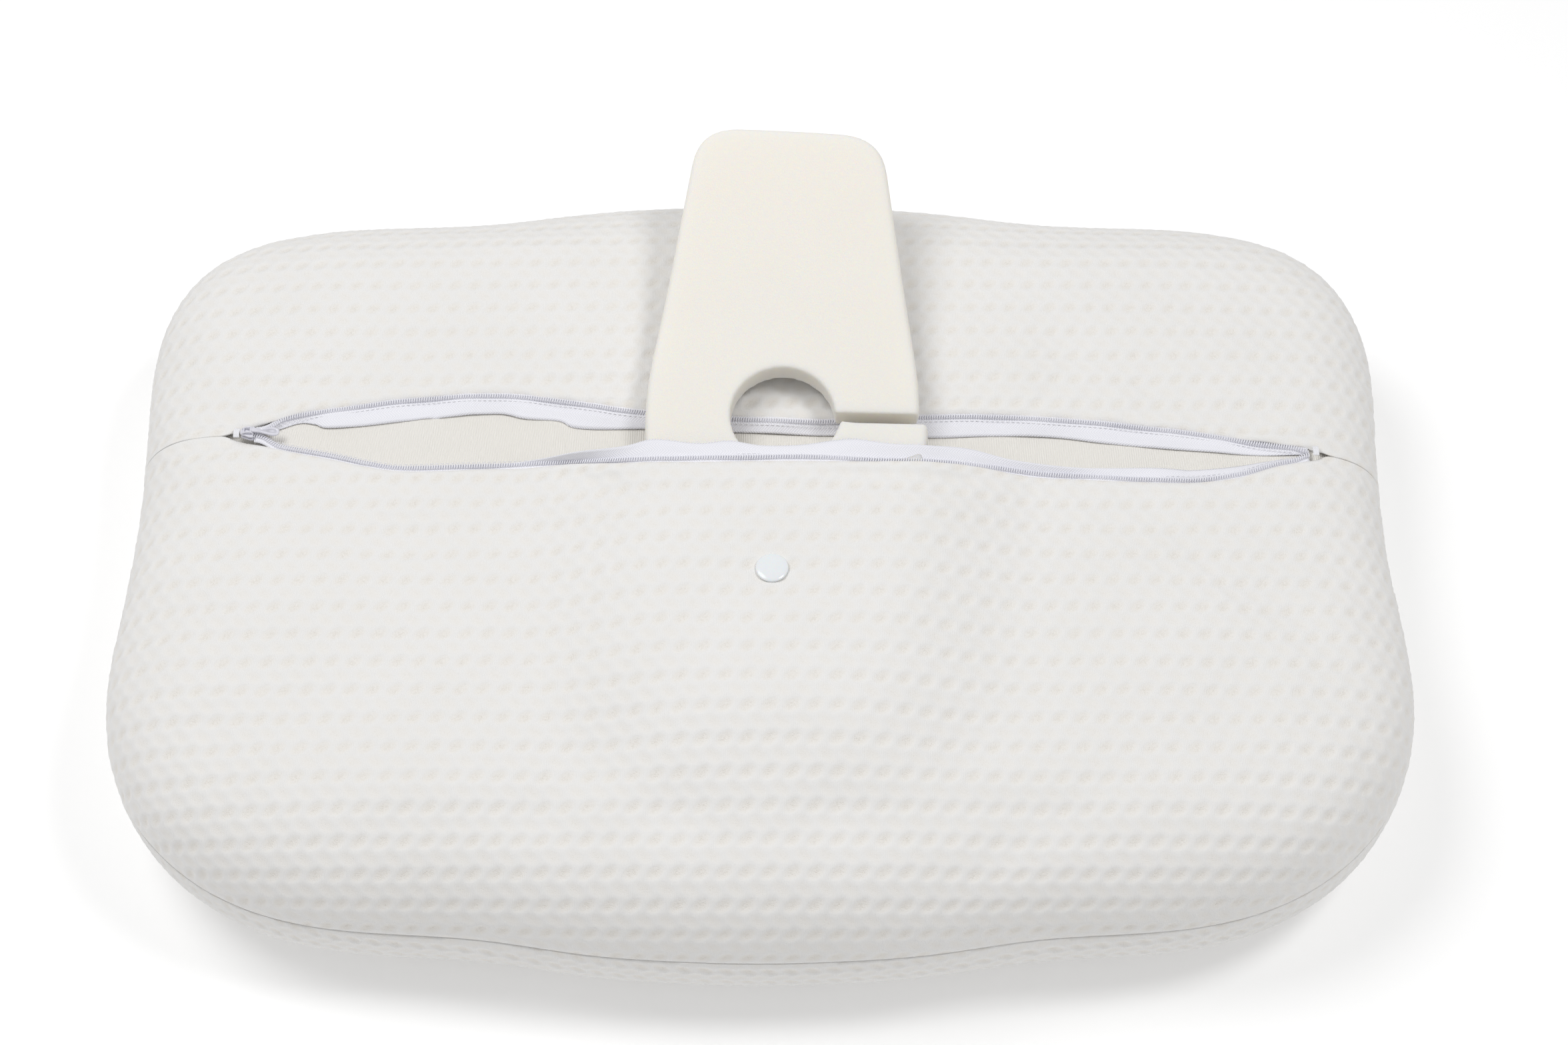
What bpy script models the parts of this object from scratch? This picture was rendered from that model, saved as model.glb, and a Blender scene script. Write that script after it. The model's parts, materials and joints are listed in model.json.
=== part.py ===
"""Butterfly pillow of moulded foam in a zipped cover, with a removable height layer half pulled out.

Metres, +Z up, +X to the right, +Y to the far side. The pillow lies on its sleeping side, so its flat
zipped side faces up. The origin is the middle of the footprint, on the floor.
"""

import math

import bmesh
import bpy
from mathutils import Matrix, Vector
from mathutils.bvhtree import BVHTree

MM = 0.001

# Pillow
PILLOW_WIDTH = 600 * MM
PILLOW_DEPTH = 414 * MM
PILLOW_HEIGHT = 97 * MM  # from the floor to the flat side of the cover
SEAM_HEIGHT = 57 * MM  # where the zip-side panels are sewn to the sleeping-side panel
CRADLE_DEPTH = 30 * MM  # head hollow in the sleeping side
OUTLINE_HALF = (  # right half, near middle to far middle, as parts of the half width and half depth
    (0.00, -1.00), (0.25, -0.98), (0.42, -0.93), (0.60, -0.93), (0.78, -0.86),
    (0.935, -0.66), (0.985, -0.39), (0.968, -0.02), (0.977, 0.24), (1.00, 0.53),
    (0.95, 0.80), (0.75, 0.93), (0.50, 0.92), (0.27, 0.98), (0.00, 1.00),
)  # fmt: skip
# Each ring of the form as (share of the outline, share of the height).
RINGS_UP = ((1.0, 0.50), (0.972, 0.86), (0.905, 1.0), (0.72, 1.0), (0.36, 1.0))
RINGS_DOWN = ((0.97, 0.14), (0.88, 0.0), (0.78, 0.0), (0.67, 0.0))
CRADLE_RING = 0.40  # share of the outline where the cradle's floor starts

# Layers of the pillow, from the outside in
GAP = 0.4 * MM
COVER_THICKNESS = 3.0 * MM
LINER_THICKNESS = 1.0 * MM
SEAM_GAP = 0.3 * MM

# Zip: a straight chord from the left end to the right end, and how far each lip lies open beside it
ZIP_LEFT = (-236 * MM, 44 * MM)
ZIP_RIGHT = (256 * MM, 34 * MM)
LIP_BACK = ((0.0, 5.4), (0.03, 9.0), (0.08, 17.0), (0.21, 26.5), (0.37, 18.5), (0.52, 15.0),
            (0.68, 19.5), (0.83, 17.0), (0.95, 7.0), (1.0, 1.6))  # fmt: skip
LIP_FRONT = ((0.0, 5.4), (0.04, 8.5), (0.10, 14.0), (0.17, 18.5), (0.33, 18.0), (0.45, 18.0),
             (0.62, 18.0), (0.75, 17.0), (0.90, 16.0), (0.955, 8.0), (1.0, 1.6))  # fmt: skip
COIL_RADIUS = 1.2 * MM
TAPE_WIDTH = 8.0 * MM
TAPE_THICKNESS = 0.7 * MM
TAPE_LEAST = 1.0 * MM  # a tape stops where there is room for less of its width than this
TAPE_START_BACK = 3  # the point of the lip's line where the tape comes into sight
TAPE_START_FRONT = 12
TAPE_RISE_BACK = math.radians(-6)
TAPE_RISE_FRONT = math.radians(60)
TACK_LENGTH = 3.0 * MM
TACK_OVERHANG = 1.6 * MM  # of a tack past the coils, on each side
SLIDER_LENGTH = 6.5 * MM
SLIDER_WIDTH = 6.0 * MM
SLIDER_HEIGHT = 3.4 * MM
SLIDER_CLEARANCE = 1.2 * MM  # between the slider's path and a tape
SLIDER_CHEEK = 0.7 * MM
TAB_LENGTH = 13.0 * MM
TAB_WIDTH = 4.5 * MM
TAB_THICKNESS = 1.2 * MM
TAB_PIN_RADIUS = 0.5 * MM
TAB_PIN_EASE = 0.12 * MM
TAB_NECK = 2.6 * MM

# Height layer
LAYER_LENGTH = 295 * MM
LAYER_MIDDLE_WIDTH = 131 * MM
LAYER_END_WIDTH = 88 * MM
LAYER_THICKNESS = 13.5 * MM
LAYER_CORNER = 20 * MM
LAYER_EDGE = 3.0 * MM
LAYER_HOLE = 48 * MM
LAYER_SLIT = 3.6 * MM
LAYER_CENTRE = (10 * MM, 42 * MM)  # middle of the hole
LAYER_TURN = math.radians(-1.6)
LAYER_RISE = math.radians(12)  # slope of the part outside the cover
BEND_FROM_CENTRE = -34 * MM  # where the layer starts to rise, beside the hole's middle
HINGE_FROM_CENTRE = -13 * MM  # where the part outside folds
FOLD_GAP = 0.5 * MM
BUMP_CLEARANCE = 3.0 * MM  # of the cover beside the layer
BUMP_ROOM = 0.8 * MM  # of the cover above the layer
BUMP_SLOPE = 22 * MM  # how far the bump in the cover runs out

# Press stud
SNAP_PLACE = (5.5 * MM, -41.2 * MM)
SNAP_CAP_RADIUS = 7.3 * MM
SNAP_CAP_HEIGHT = 2.0 * MM
SNAP_RING_RADIUS = 5.5 * MM
SNAP_SOCKET_HEIGHT = 1.4 * MM
SNAP_STUD_RADIUS = 2.4 * MM
SNAP_STUD_HEIGHT = 2.6 * MM
SNAP_PLATE_THICKNESS = 0.8 * MM

MATERIALS = {
    "foam": ((0.93, 0.91, 0.85), 0.9, 0.0),
    "layer_foam": ((0.93, 0.92, 0.86), 0.9, 0.0),
    "liner_jersey": ((0.93, 0.90, 0.80), 0.9, 0.0),
    "cover_knit": ((0.92, 0.92, 0.91), 0.85, 0.0),
    "zip_tape": ((0.93, 0.92, 0.96), 0.8, 0.0),
    "zip_coil": ((0.95, 0.95, 0.97), 0.4, 0.0),
    "slider_enamel": ((0.86, 0.85, 0.90), 0.25, 0.3),
    "snap_plastic": ((0.93, 0.95, 0.97), 0.25, 0.0),
}


def clear_scene():
    for obj in list(bpy.data.objects):
        bpy.data.objects.remove(obj, do_unlink=True)


def collection(name, hidden=False):
    made = bpy.data.collections.new(name)
    bpy.context.scene.collection.children.link(made)
    made.hide_render = hidden
    return made


def material(name):
    made = bpy.data.materials.get(name)
    if made:
        return made
    colour, roughness, metallic = MATERIALS[name]
    made = bpy.data.materials.new(name)
    made.use_nodes = True
    shader = made.node_tree.nodes["Principled BSDF"]
    shader.inputs["Base Color"].default_value = (*colour, 1)
    shader.inputs["Roughness"].default_value = roughness
    shader.inputs["Metallic"].default_value = metallic
    made.diffuse_color = (*colour, 1)
    return made


def add(name, mesh_builder, slot):
    """A named piece from a bmesh, with its material."""
    mesh = bpy.data.meshes.new(name)
    bmesh.ops.recalc_face_normals(mesh_builder, faces=mesh_builder.faces)
    mesh_builder.to_mesh(mesh)
    mesh_builder.free()
    obj = bpy.data.objects.new(name, mesh)
    PARTS.objects.link(obj)
    mesh.materials.append(material(slot))
    return obj


def add_cutter(name, mesh_builder):
    mesh = bpy.data.meshes.new(name)
    bmesh.ops.recalc_face_normals(mesh_builder, faces=mesh_builder.faces)
    mesh_builder.to_mesh(mesh)
    mesh_builder.free()
    obj = bpy.data.objects.new(name, mesh)
    CUTTERS.objects.link(obj)
    obj.hide_render = True
    obj.display_type = "WIRE"
    return obj


def boolean(obj, cutter, operation="DIFFERENCE"):
    modifier = obj.modifiers.new(f"{operation.lower()}_{cutter.name}", "BOOLEAN")
    modifier.operation = operation
    modifier.object = cutter
    modifier.solver = "EXACT"


def smooth_line(points, steps):
    """Points on the Catmull-Rom curve through the given ones."""
    ends = [points[0], *points, points[-1]]
    line = []
    for a, b, c, d in zip(ends, ends[1:], ends[2:], ends[3:]):
        a, b, c, d = (Vector(p) for p in (a, b, c, d))
        for i in range(steps):
            t = i / steps
            line.append(
                0.5 * (2 * b + (c - a) * t + (2 * a - 5 * b + 4 * c - d) * t * t
                       + (3 * b - a - 3 * c + d) * t**3)
            )  # fmt: skip
    return [*line, Vector(points[-1])]


# Pillow form


def outline():
    right = [Vector((x * PILLOW_WIDTH / 2, y * PILLOW_DEPTH / 2)) for x, y in OUTLINE_HALF]
    left = [Vector((-p.x, p.y)) for p in reversed(right[1:-1])]
    return right + left


def rings():
    """(share of the outline, height) of each ring of the cage, from the cradle's floor to the flat side."""
    cradle = (CRADLE_RING, CRADLE_DEPTH)
    down = [(share, z * PILLOW_HEIGHT) for share, z in reversed(RINGS_DOWN)]
    up = [(share, z * PILLOW_HEIGHT) for share, z in RINGS_UP]
    return [cradle, *down, *up]


def cage(stretch=(1.0, 1.0)):
    made = bmesh.new()
    loops = []
    for share, z in rings():
        points = [(p.x * share * stretch[0], p.y * share * stretch[1], z) for p in outline()]
        loops.append([made.verts.new(p) for p in points])
    for lower, upper in zip(loops, loops[1:]):
        for i in range(len(lower)):
            j = (i + 1) % len(lower)
            made.faces.new((lower[i], lower[j], upper[j], upper[i]))
    for loop in (loops[0], loops[-1]):
        middle = made.verts.new((0, 0, loop[0].co.z))
        for i in range(len(loop)):
            made.faces.new((loop[i], loop[(i + 1) % len(loop)], middle))
    return made


def add_rounding(obj):
    rounding = obj.modifiers.new("round", "SUBSURF")
    rounding.levels = rounding.render_levels = 1
    rounding.use_limit_surface = False


def stretch_for_size():
    """How much the cage is stretched, because Subdivision Surface draws it in."""
    probe = add_cutter("size_probe", cage())
    add_rounding(probe)
    graph = bpy.context.evaluated_depsgraph_get()
    points = [v.co for v in probe.evaluated_get(graph).data.vertices]
    width = max(p.x for p in points) - min(p.x for p in points)
    depth = max(p.y for p in points) - min(p.y for p in points)
    bpy.data.objects.remove(probe, do_unlink=True)
    return PILLOW_WIDTH / width, PILLOW_DEPTH / depth


def shape_form(obj, inset):
    """Rounds the cage and moves its surface inwards by inset."""
    add_rounding(obj)
    if inset:
        shrink = obj.modifiers.new("inset", "DISPLACE")
        shrink.strength = -inset
        shrink.mid_level = 0
    return obj


def form(name, inset, slot):
    return shape_form(add(name, cage(STRETCH), slot), inset)


def form_cutter(name, inset):
    return shape_form(add_cutter(name, cage(STRETCH)), inset)


def prism(points, bottom, top):
    made = bmesh.new()
    face = made.faces.new([made.verts.new((p[0], p[1], bottom)) for p in points])
    risen = bmesh.ops.extrude_face_region(made, geom=[face])["geom"]
    verts = [v for v in risen if isinstance(v, bmesh.types.BMVert)]
    bmesh.ops.translate(made, vec=(0, 0, top - bottom), verts=verts)
    return made


# Zip lines


def zip_point(share, aside=0.0):
    """A point on the zip's chord, moved aside (positive is away from the viewer)."""
    start, end = Vector(ZIP_LEFT), Vector(ZIP_RIGHT)
    along = (end - start).normalized()
    return start.lerp(end, share) + Vector((-along.y, along.x)) * aside


def lip_line(lip, side, extra=0.0, steps=3):
    return [zip_point(p.x, side * (p.y * MM + extra)) for p in smooth_line(lip, steps)]


def panel_prism(name, lip, side):
    """Everything above the seam height on one side of the zip."""
    length = (Vector(ZIP_RIGHT) - Vector(ZIP_LEFT)).length
    beside_coil = COIL_RADIUS + GAP
    left_end = -(SLIDER_LENGTH + TACK_LENGTH + 3 * GAP) / length
    right_end = 1 + (TACK_LENGTH + 2 * GAP) / length
    seam = SEAM_GAP / 2
    places = [(left_end, seam), (left_end, lip[0][1] * MM)]
    places += [(p.x, p.y * MM + beside_coil) for p in smooth_line(lip, 3)]
    places += [(right_end, lip[-1][1] * MM + beside_coil), (right_end, seam)]
    places += [(2, seam), (2, PILLOW_WIDTH), (-1, PILLOW_WIDTH), (-1, seam)]
    region = prism([zip_point(share, side * aside) for share, aside in places],
                   SEAM_HEIGHT + seam, 2 * PILLOW_HEIGHT)  # fmt: skip
    return add_cutter(name, region)


# Height layer


def layer_bottom():
    return PILLOW_HEIGHT - COVER_THICKNESS - GAP + SEAM_GAP


def layer_outline(grow=0.0):
    """The layer's plan, with the hole's middle at the origin."""
    made = bmesh.new()
    middle, end = LAYER_MIDDLE_WIDTH / 2 + grow, LAYER_END_WIDTH / 2 + grow
    half = LAYER_LENGTH / 2 + grow
    corners = [(middle, 0), (end, half), (-end, half), (-middle, 0), (-end, -half), (end, -half)]
    face = made.faces.new([made.verts.new((x, y, 0)) for x, y in corners])
    bmesh.ops.bevel(
        made, geom=list(face.verts), offset=LAYER_CORNER + grow / 2,
        segments=4, profile=0.5, affect="VERTICES",
    )  # fmt: skip
    loop = max(made.faces, key=lambda f: f.calc_area())
    points = [v.co.to_2d() for v in loop.verts]
    made.free()
    return points


def fold_place(v, w):
    """(y, z) of a point of the layer: v along it from the hole's middle, w above its underside."""
    along = v - BEND_FROM_CENTRE
    if along < -0.01 * MM:
        return v, w
    tilt = LAYER_RISE / 2 if along < 0.01 * MM else LAYER_RISE
    y = BEND_FROM_CENTRE + along * math.cos(LAYER_RISE) - w * math.sin(tilt)
    return y, along * math.sin(LAYER_RISE) + w * math.cos(tilt)


def layer_point(u, v, w):
    """World place of a point of the layer."""
    y, z = fold_place(v, w)
    middle = fold_place(0, LAYER_THICKNESS)[0]
    turned = Matrix.Rotation(LAYER_TURN, 3, "Z") @ Vector((u, y - middle, z))
    return Vector((*LAYER_CENTRE, layer_bottom())) + turned


def lay(made):
    """Folds a flat mesh of the layer and puts it where the layer lies."""
    bmesh.ops.bisect_plane(
        made, geom=[*made.verts, *made.edges, *made.faces], dist=1e-6,
        plane_co=(0, BEND_FROM_CENTRE, 0), plane_no=(0, 1, 0),
    )  # fmt: skip
    for vert in made.verts:
        vert.co = layer_point(*vert.co)
    return made


def layer_slab():
    made = prism(layer_outline(), 0, LAYER_THICKNESS)
    rims = [e for e in made.edges if abs(e.verts[0].co.z - e.verts[1].co.z) < 0.1 * MM]
    bmesh.ops.bevel(made, geom=rims, offset=LAYER_EDGE, segments=2, profile=0.5, affect="EDGES")
    return lay(made)


def layer_region(name, points):
    return add_cutter(name, lay(prism(points, -LAYER_THICKNESS, 2 * LAYER_THICKNESS)))


def bump(name, thickness):
    """The room that the layer takes under the front panel, with sloping sides."""
    made = bmesh.new()
    foot, top = BUMP_CLEARANCE + BUMP_SLOPE + thickness, BUMP_CLEARANCE + thickness
    loops = []
    for grow, w in ((foot, -LAYER_THICKNESS / 2), (top, LAYER_THICKNESS + BUMP_ROOM + thickness)):
        loops.append([made.verts.new((p.x, p.y, w)) for p in layer_outline(grow)])
    made.faces.new(loops[0])
    made.faces.new(loops[1])
    for i in range(len(loops[0])):
        j = (i + 1) % len(loops[0])
        made.faces.new((loops[0][i], loops[0][j], loops[1][j], loops[1][i]))
    return add_cutter(name, lay(made))


def flap_hinge():
    """The fold's axis, along the layer's upper face: a point and a direction."""
    start = layer_point(-LAYER_MIDDLE_WIDTH / 2, HINGE_FROM_CENTRE, LAYER_THICKNESS)
    end = layer_point(LAYER_MIDDLE_WIDTH / 2, HINGE_FROM_CENTRE, LAYER_THICKNESS)
    return (start + end) / 2, (end - start).normalized()


def make_layer(stud_room, socket_room):
    far, side = LAYER_LENGTH, LAYER_MIDDLE_WIDTH
    slit_low, slit_high = -LAYER_SLIT / 2, LAYER_SLIT / 2
    fold_low, fold_high = HINGE_FROM_CENTRE - FOLD_GAP / 2, HINGE_FROM_CENTRE + FOLD_GAP / 2
    inside = layer_region(
        "layer_inside",
        [(-side, -far), (side, -far), (side, slit_low), (0, slit_low), (0, fold_low), (-side, fold_low)],
    )
    outside = layer_region(
        "layer_outside",
        [(-side, fold_high), (0, fold_high), (0, slit_high), (side, slit_high), (side, far), (-side, far)],
    )
    drill = bmesh.new()
    radius = LAYER_HOLE / 2
    bmesh.ops.create_cone(
        drill, cap_ends=True, segments=40, radius1=radius, radius2=radius, depth=4 * LAYER_THICKNESS
    )
    for vert in drill.verts:
        vert.co = layer_point(vert.co.x, vert.co.y, vert.co.z)
    hole = add_cutter("layer_hole", drill)
    tail = add("height_layer_tail", layer_slab(), "layer_foam")
    flap = add("height_layer_flap", layer_slab(), "layer_foam")
    for piece, region in ((tail, inside), (flap, outside)):
        boolean(piece, region, "INTERSECT")
        boolean(piece, hole)
    boolean(tail, stud_room)
    boolean(tail, socket_room)
    put_origin(flap, flap_hinge()[0])


def put_origin(obj, place):
    obj.data.transform(Matrix.Translation(-place))
    obj.location = place


# Cover, liner and foam


def half_space(name, bottom, top):
    reach = PILLOW_WIDTH
    square = [(-reach, -reach), (reach, -reach), (reach, reach), (-reach, reach)]
    return add_cutter(name, prism(square, bottom, top))


def make_cover():
    above = 2 * PILLOW_HEIGHT
    inside = form_cutter("cover_inside", COVER_THICKNESS)
    front_inside = form_cutter("cover_front_inside", COVER_THICKNESS)
    boolean(front_inside, bump("bump_inside", 0), "UNION")
    below_seam = half_space("below_seam", -above, SEAM_HEIGHT - SEAM_GAP / 2)

    front = form("cover_front_panel", 0, "cover_knit")
    boolean(front, bump("bump_outside", COVER_THICKNESS), "UNION")
    boolean(front, panel_prism("front_region", LIP_FRONT, -1), "INTERSECT")
    boolean(front, front_inside)

    back = form("cover_back_panel", 0, "cover_knit")
    boolean(back, inside)
    boolean(back, panel_prism("back_region", LIP_BACK, 1), "INTERSECT")

    sleeping = form("cover_sleeping_panel", 0, "cover_knit")
    boolean(sleeping, inside)
    boolean(sleeping, below_seam, "INTERSECT")
    return front, back


def make_liner_and_foam(plate_room):
    outer = COVER_THICKNESS + GAP
    inside = form_cutter("liner_inside", outer + LINER_THICKNESS)
    halves = (
        ("liner_upper", SEAM_HEIGHT + SEAM_GAP / 2, 2 * PILLOW_HEIGHT),
        ("liner_lower", -PILLOW_HEIGHT, SEAM_HEIGHT - SEAM_GAP / 2),
    )
    for name, bottom, top in halves:
        liner = form(name, outer, "liner_jersey")
        boolean(liner, inside)
        boolean(liner, half_space(f"{name}_region", bottom, top), "INTERSECT")
    foam = form("core_foam", outer + LINER_THICKNESS + 2 * GAP, "foam")
    boolean(foam, plate_room)


# Zip


def surface_height(obj, graph, place):
    """Height of the piece's upper surface over a place, or None beside it."""
    tree = BVHTree.FromObject(obj, graph)
    hit = tree.ray_cast(Vector((place.x, place.y, 1)), Vector((0, 0, -1)))[0]
    return hit.z if hit else None


def lip_heights(panel, lip, side):
    """Height of the zip's coil along a lip: the middle of the panel's edge, with its slope carried on."""
    graph = bpy.context.evaluated_depsgraph_get()
    inside_panel = COIL_RADIUS + GAP + COVER_THICKNESS / 2
    carried_on = inside_panel * math.tan(LAYER_RISE)
    heights = []
    for place in lip_line(lip, side, extra=inside_panel):
        top = surface_height(panel, graph, place)
        heights.append((top or PILLOW_HEIGHT) - COVER_THICKNESS / 2 + carried_on)
    return heights


def tube(name, points, radius, slot):
    curve = bpy.data.curves.new(name, "CURVE")
    curve.dimensions = "3D"
    curve.bevel_depth = radius
    curve.bevel_resolution = 2
    curve.use_fill_caps = True
    spline = curve.splines.new("POLY")
    spline.points.add(len(points) - 1)
    for point, place in zip(spline.points, points):
        point.co = (*place, 1)
    obj = bpy.data.objects.new(name, curve)
    PARTS.objects.link(obj)
    curve.materials.append(material(slot))
    return obj


def ribbon(name, one_edge, other_edge, thickness, slot):
    """A strip between two edge lines, as an open surface made solid."""
    made = bmesh.new()
    one = [made.verts.new(p) for p in one_edge]
    other = [made.verts.new(p) for p in other_edge]
    for i in range(len(one) - 1):
        made.faces.new((one[i], one[i + 1], other[i + 1], other[i]))
    obj = add(name, made, slot)
    solid = obj.modifiers.new("thickness", "SOLIDIFY")
    solid.thickness = thickness
    solid.offset = 0
    return obj


def make_zip_side(word, panel, lip, side, first, rise):
    """The coil along one lip, and the tape that shows beside it from the first point on, tilted by rise."""
    heights = lip_heights(panel, lip, side)
    coil_line = [(*p, z) for p, z in zip(lip_line(lip, side), heights)]
    tube(f"zip_coil_{word}", coil_line, COIL_RADIUS, "zip_coil")

    near, far = [], []
    slider_room = SLIDER_WIDTH / 2 + SLIDER_CLEARANCE
    beside = COIL_RADIUS + GAP
    lie = smooth_line(lip, 3)
    for place, height in list(zip(lie, heights))[first:]:
        width = min(TAPE_WIDTH, place.y * MM - beside - slider_room)
        if width < TAPE_LEAST:
            break
        across = beside + width * math.cos(rise)
        near.append((*zip_point(place.x, side * (place.y * MM - beside)), height))
        far.append((*zip_point(place.x, side * (place.y * MM - across)), height + width * math.sin(rise)))
    ribbon(f"zip_tape_{word}", near, far, TAPE_THICKNESS, "zip_tape")


def block(name, size, slot, rounding):
    made = bmesh.new()
    bmesh.ops.create_cube(made, size=1)
    bmesh.ops.scale(made, vec=size, verts=made.verts)
    obj = add(name, made, slot)
    bevel = obj.modifiers.new("rounding", "BEVEL")
    bevel.width = rounding
    bevel.segments = 2
    return obj


def zip_turn():
    along = Vector(ZIP_RIGHT) - Vector(ZIP_LEFT)
    return math.atan2(along.y, along.x)


def put_on_zip(obj, distance, height):
    """Places a piece on the zip's chord, distance to the right of its left end."""
    length = (Vector(ZIP_RIGHT) - Vector(ZIP_LEFT)).length
    obj.location = (*zip_point(distance / length), height)
    obj.rotation_euler = (0, 0, zip_turn())
    return obj


def cylinder_mesh(radius, length, segments=16):
    made = bmesh.new()
    bmesh.ops.create_cone(
        made, cap_ends=True, segments=segments, radius1=radius, radius2=radius, depth=length
    )
    return made


def make_slider():
    length = (Vector(ZIP_RIGHT) - Vector(ZIP_LEFT)).length
    chain_height = PILLOW_HEIGHT - COVER_THICKNESS / 2
    slider_x = -SLIDER_LENGTH / 2 - GAP
    size = (SLIDER_LENGTH, SLIDER_WIDTH, SLIDER_HEIGHT)
    slider = put_on_zip(block("zip_slider", size, "slider_enamel", 0.8 * MM), slider_x, chain_height + GAP)

    tack = (TACK_LENGTH, 2 * (COIL_RADIUS + TACK_OVERHANG), 2 * COIL_RADIUS)
    left_x = slider_x - SLIDER_LENGTH / 2 - GAP - TACK_LENGTH / 2
    put_on_zip(block("zip_tack_left", tack, "zip_tape", 0.5 * MM), left_x, chain_height)
    right_x = length + GAP + TACK_LENGTH / 2
    put_on_zip(block("zip_tack_right", tack, "zip_tape", 0.5 * MM), right_x, chain_height)

    # The bridge is two cheeks on the slider's body, with the tab's pin between them.
    barrel = 2.2 * TAB_PIN_RADIUS
    pin_height = SLIDER_HEIGHT / 2 + barrel + SEAM_GAP
    pin_x = SLIDER_LENGTH / 2 - barrel
    neck = TAB_NECK
    cheek = SLIDER_CHEEK
    for side in (-1, 1):
        part = bmesh.new()
        bmesh.ops.create_cube(part, size=1)
        bmesh.ops.scale(part, vec=(2 * barrel, cheek, pin_height + barrel), verts=part.verts)
        offset = (pin_x, side * (neck / 2 + SEAM_GAP + cheek / 2), (pin_height + barrel) / 2)
        bmesh.ops.translate(part, vec=offset, verts=part.verts)
        cutter = add_cutter(f"cheek_{side}", part)
        cutter.matrix_world = Matrix.Translation(slider.location) @ Matrix.Rotation(zip_turn(), 4, "Z")
        boolean(slider, cutter, "UNION")
    pin = add_cutter("tab_pin_shape", cylinder_mesh(TAB_PIN_RADIUS, neck + 2 * SEAM_GAP + cheek, 12))
    pin_place = Matrix.Translation((pin_x, 0, pin_height)) @ Matrix.Rotation(math.pi / 2, 4, "X")
    pin.matrix_world = Matrix.Translation(slider.location) @ Matrix.Rotation(zip_turn(), 4, "Z") @ pin_place
    boolean(slider, pin, "UNION")

    half_neck, half_wide = neck / 2, TAB_WIDTH / 2
    shape = [(0, -half_neck), (0.25 * TAB_LENGTH, -half_neck)]
    centre = TAB_LENGTH - half_wide
    for i in range(9):
        angle = -math.pi / 2 + math.pi * i / 8
        shape.append((centre + half_wide * math.cos(angle), half_wide * math.sin(angle)))
    shape += [(0.25 * TAB_LENGTH, half_neck), (0, half_neck)]
    tab = add("zip_pull_tab", prism(shape, -TAB_THICKNESS / 2, TAB_THICKNESS / 2), "slider_enamel")
    eye = add_cutter("tab_eye", cylinder_mesh(barrel, neck, 20))
    bore = add_cutter("tab_bore", cylinder_mesh(TAB_PIN_RADIUS + TAB_PIN_EASE, 2 * neck, 20))
    place = Matrix.Translation(slider.location) @ Matrix.Rotation(zip_turn(), 4, "Z")
    tab.matrix_world = place @ Matrix.Translation((pin_x, 0, pin_height))
    for cutter, operation in ((eye, "UNION"), (bore, "DIFFERENCE")):
        cutter.matrix_world = place @ pin_place
        boolean(tab, cutter, operation)


# Press stud


def turned(name, profile, place, slot):
    """A turned piece from (radius, height) points that run down its outer side."""
    made = bmesh.new()
    verts = [made.verts.new((r, 0, z)) for r, z in profile]
    for a, b in zip(verts, verts[1:]):
        made.edges.new((a, b))
    obj = add(name, made, slot)
    screw = obj.modifiers.new("turn", "SCREW")
    screw.steps = screw.render_steps = 28
    screw.use_merge_vertices = True
    screw.merge_threshold = 0.00001
    obj.location = place
    return obj


def round_room(name, radius, place, bottom, top):
    made = cylinder_mesh(radius, top - bottom, 28)
    bmesh.ops.translate(made, vec=(*place, (bottom + top) / 2), verts=made.verts)
    return add_cutter(name, made)


def make_snap():
    liner_top = PILLOW_HEIGHT - COVER_THICKNESS - GAP
    panel_bottom = layer_bottom() + LAYER_THICKNESS + BUMP_ROOM
    panel_top = panel_bottom + COVER_THICKNESS
    r, h = SNAP_CAP_RADIUS, SNAP_CAP_HEIGHT
    arc = [(r * math.cos(a), 0.25 * h + 0.75 * h * math.sin(a)) for a in (1.2, 0.8, 0.4)]
    dome = [(0, h), *arc, (r, 0.25 * h), (r, 0), (0, 0)]
    turned("snap_cap", dome, (*SNAP_PLACE, panel_top + SEAM_GAP), "snap_plastic")

    ring, deep = SNAP_RING_RADIUS, SNAP_SOCKET_HEIGHT
    bore = SNAP_STUD_RADIUS + 0.1 * MM
    socket = [(bore, -deep), (bore, 0), (ring, 0), (ring, -deep), (bore, -deep)]
    turned("snap_socket", socket, (*SNAP_PLACE, panel_bottom - SEAM_GAP), "snap_plastic")

    stud, tall = SNAP_STUD_RADIUS, SNAP_STUD_HEIGHT
    stud_shape = [(0, tall), (stud, 0.75 * tall), (0.8 * stud, 0.4 * tall)]
    stud_shape += [(ring, 0.3 * tall), (ring, 0), (0, 0)]
    turned("snap_stud", stud_shape, (*SNAP_PLACE, liner_top + SEAM_GAP), "snap_plastic")

    thick = SNAP_PLATE_THICKNESS
    plate = [(0, 0), (ring, 0), (ring, -thick), (0, -thick)]
    plate_top = liner_top - LINER_THICKNESS - SEAM_GAP
    turned("snap_stud_plate", plate, (*SNAP_PLACE, plate_top), "snap_plastic")

    ease = SEAM_GAP
    room = ring + ease
    stud_top, socket_low = liner_top + tall + 3 * ease, panel_bottom - deep - 2 * ease
    stud_room = round_room("stud_room", room, SNAP_PLACE, liner_top - LAYER_THICKNESS / 2, stud_top)
    socket_room = round_room("socket_room", room, SNAP_PLACE, socket_low, panel_top)
    plate_room = round_room("plate_room", room, SNAP_PLACE, plate_top - thick - ease, PILLOW_HEIGHT)
    return stud_room, socket_room, plate_room


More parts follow.
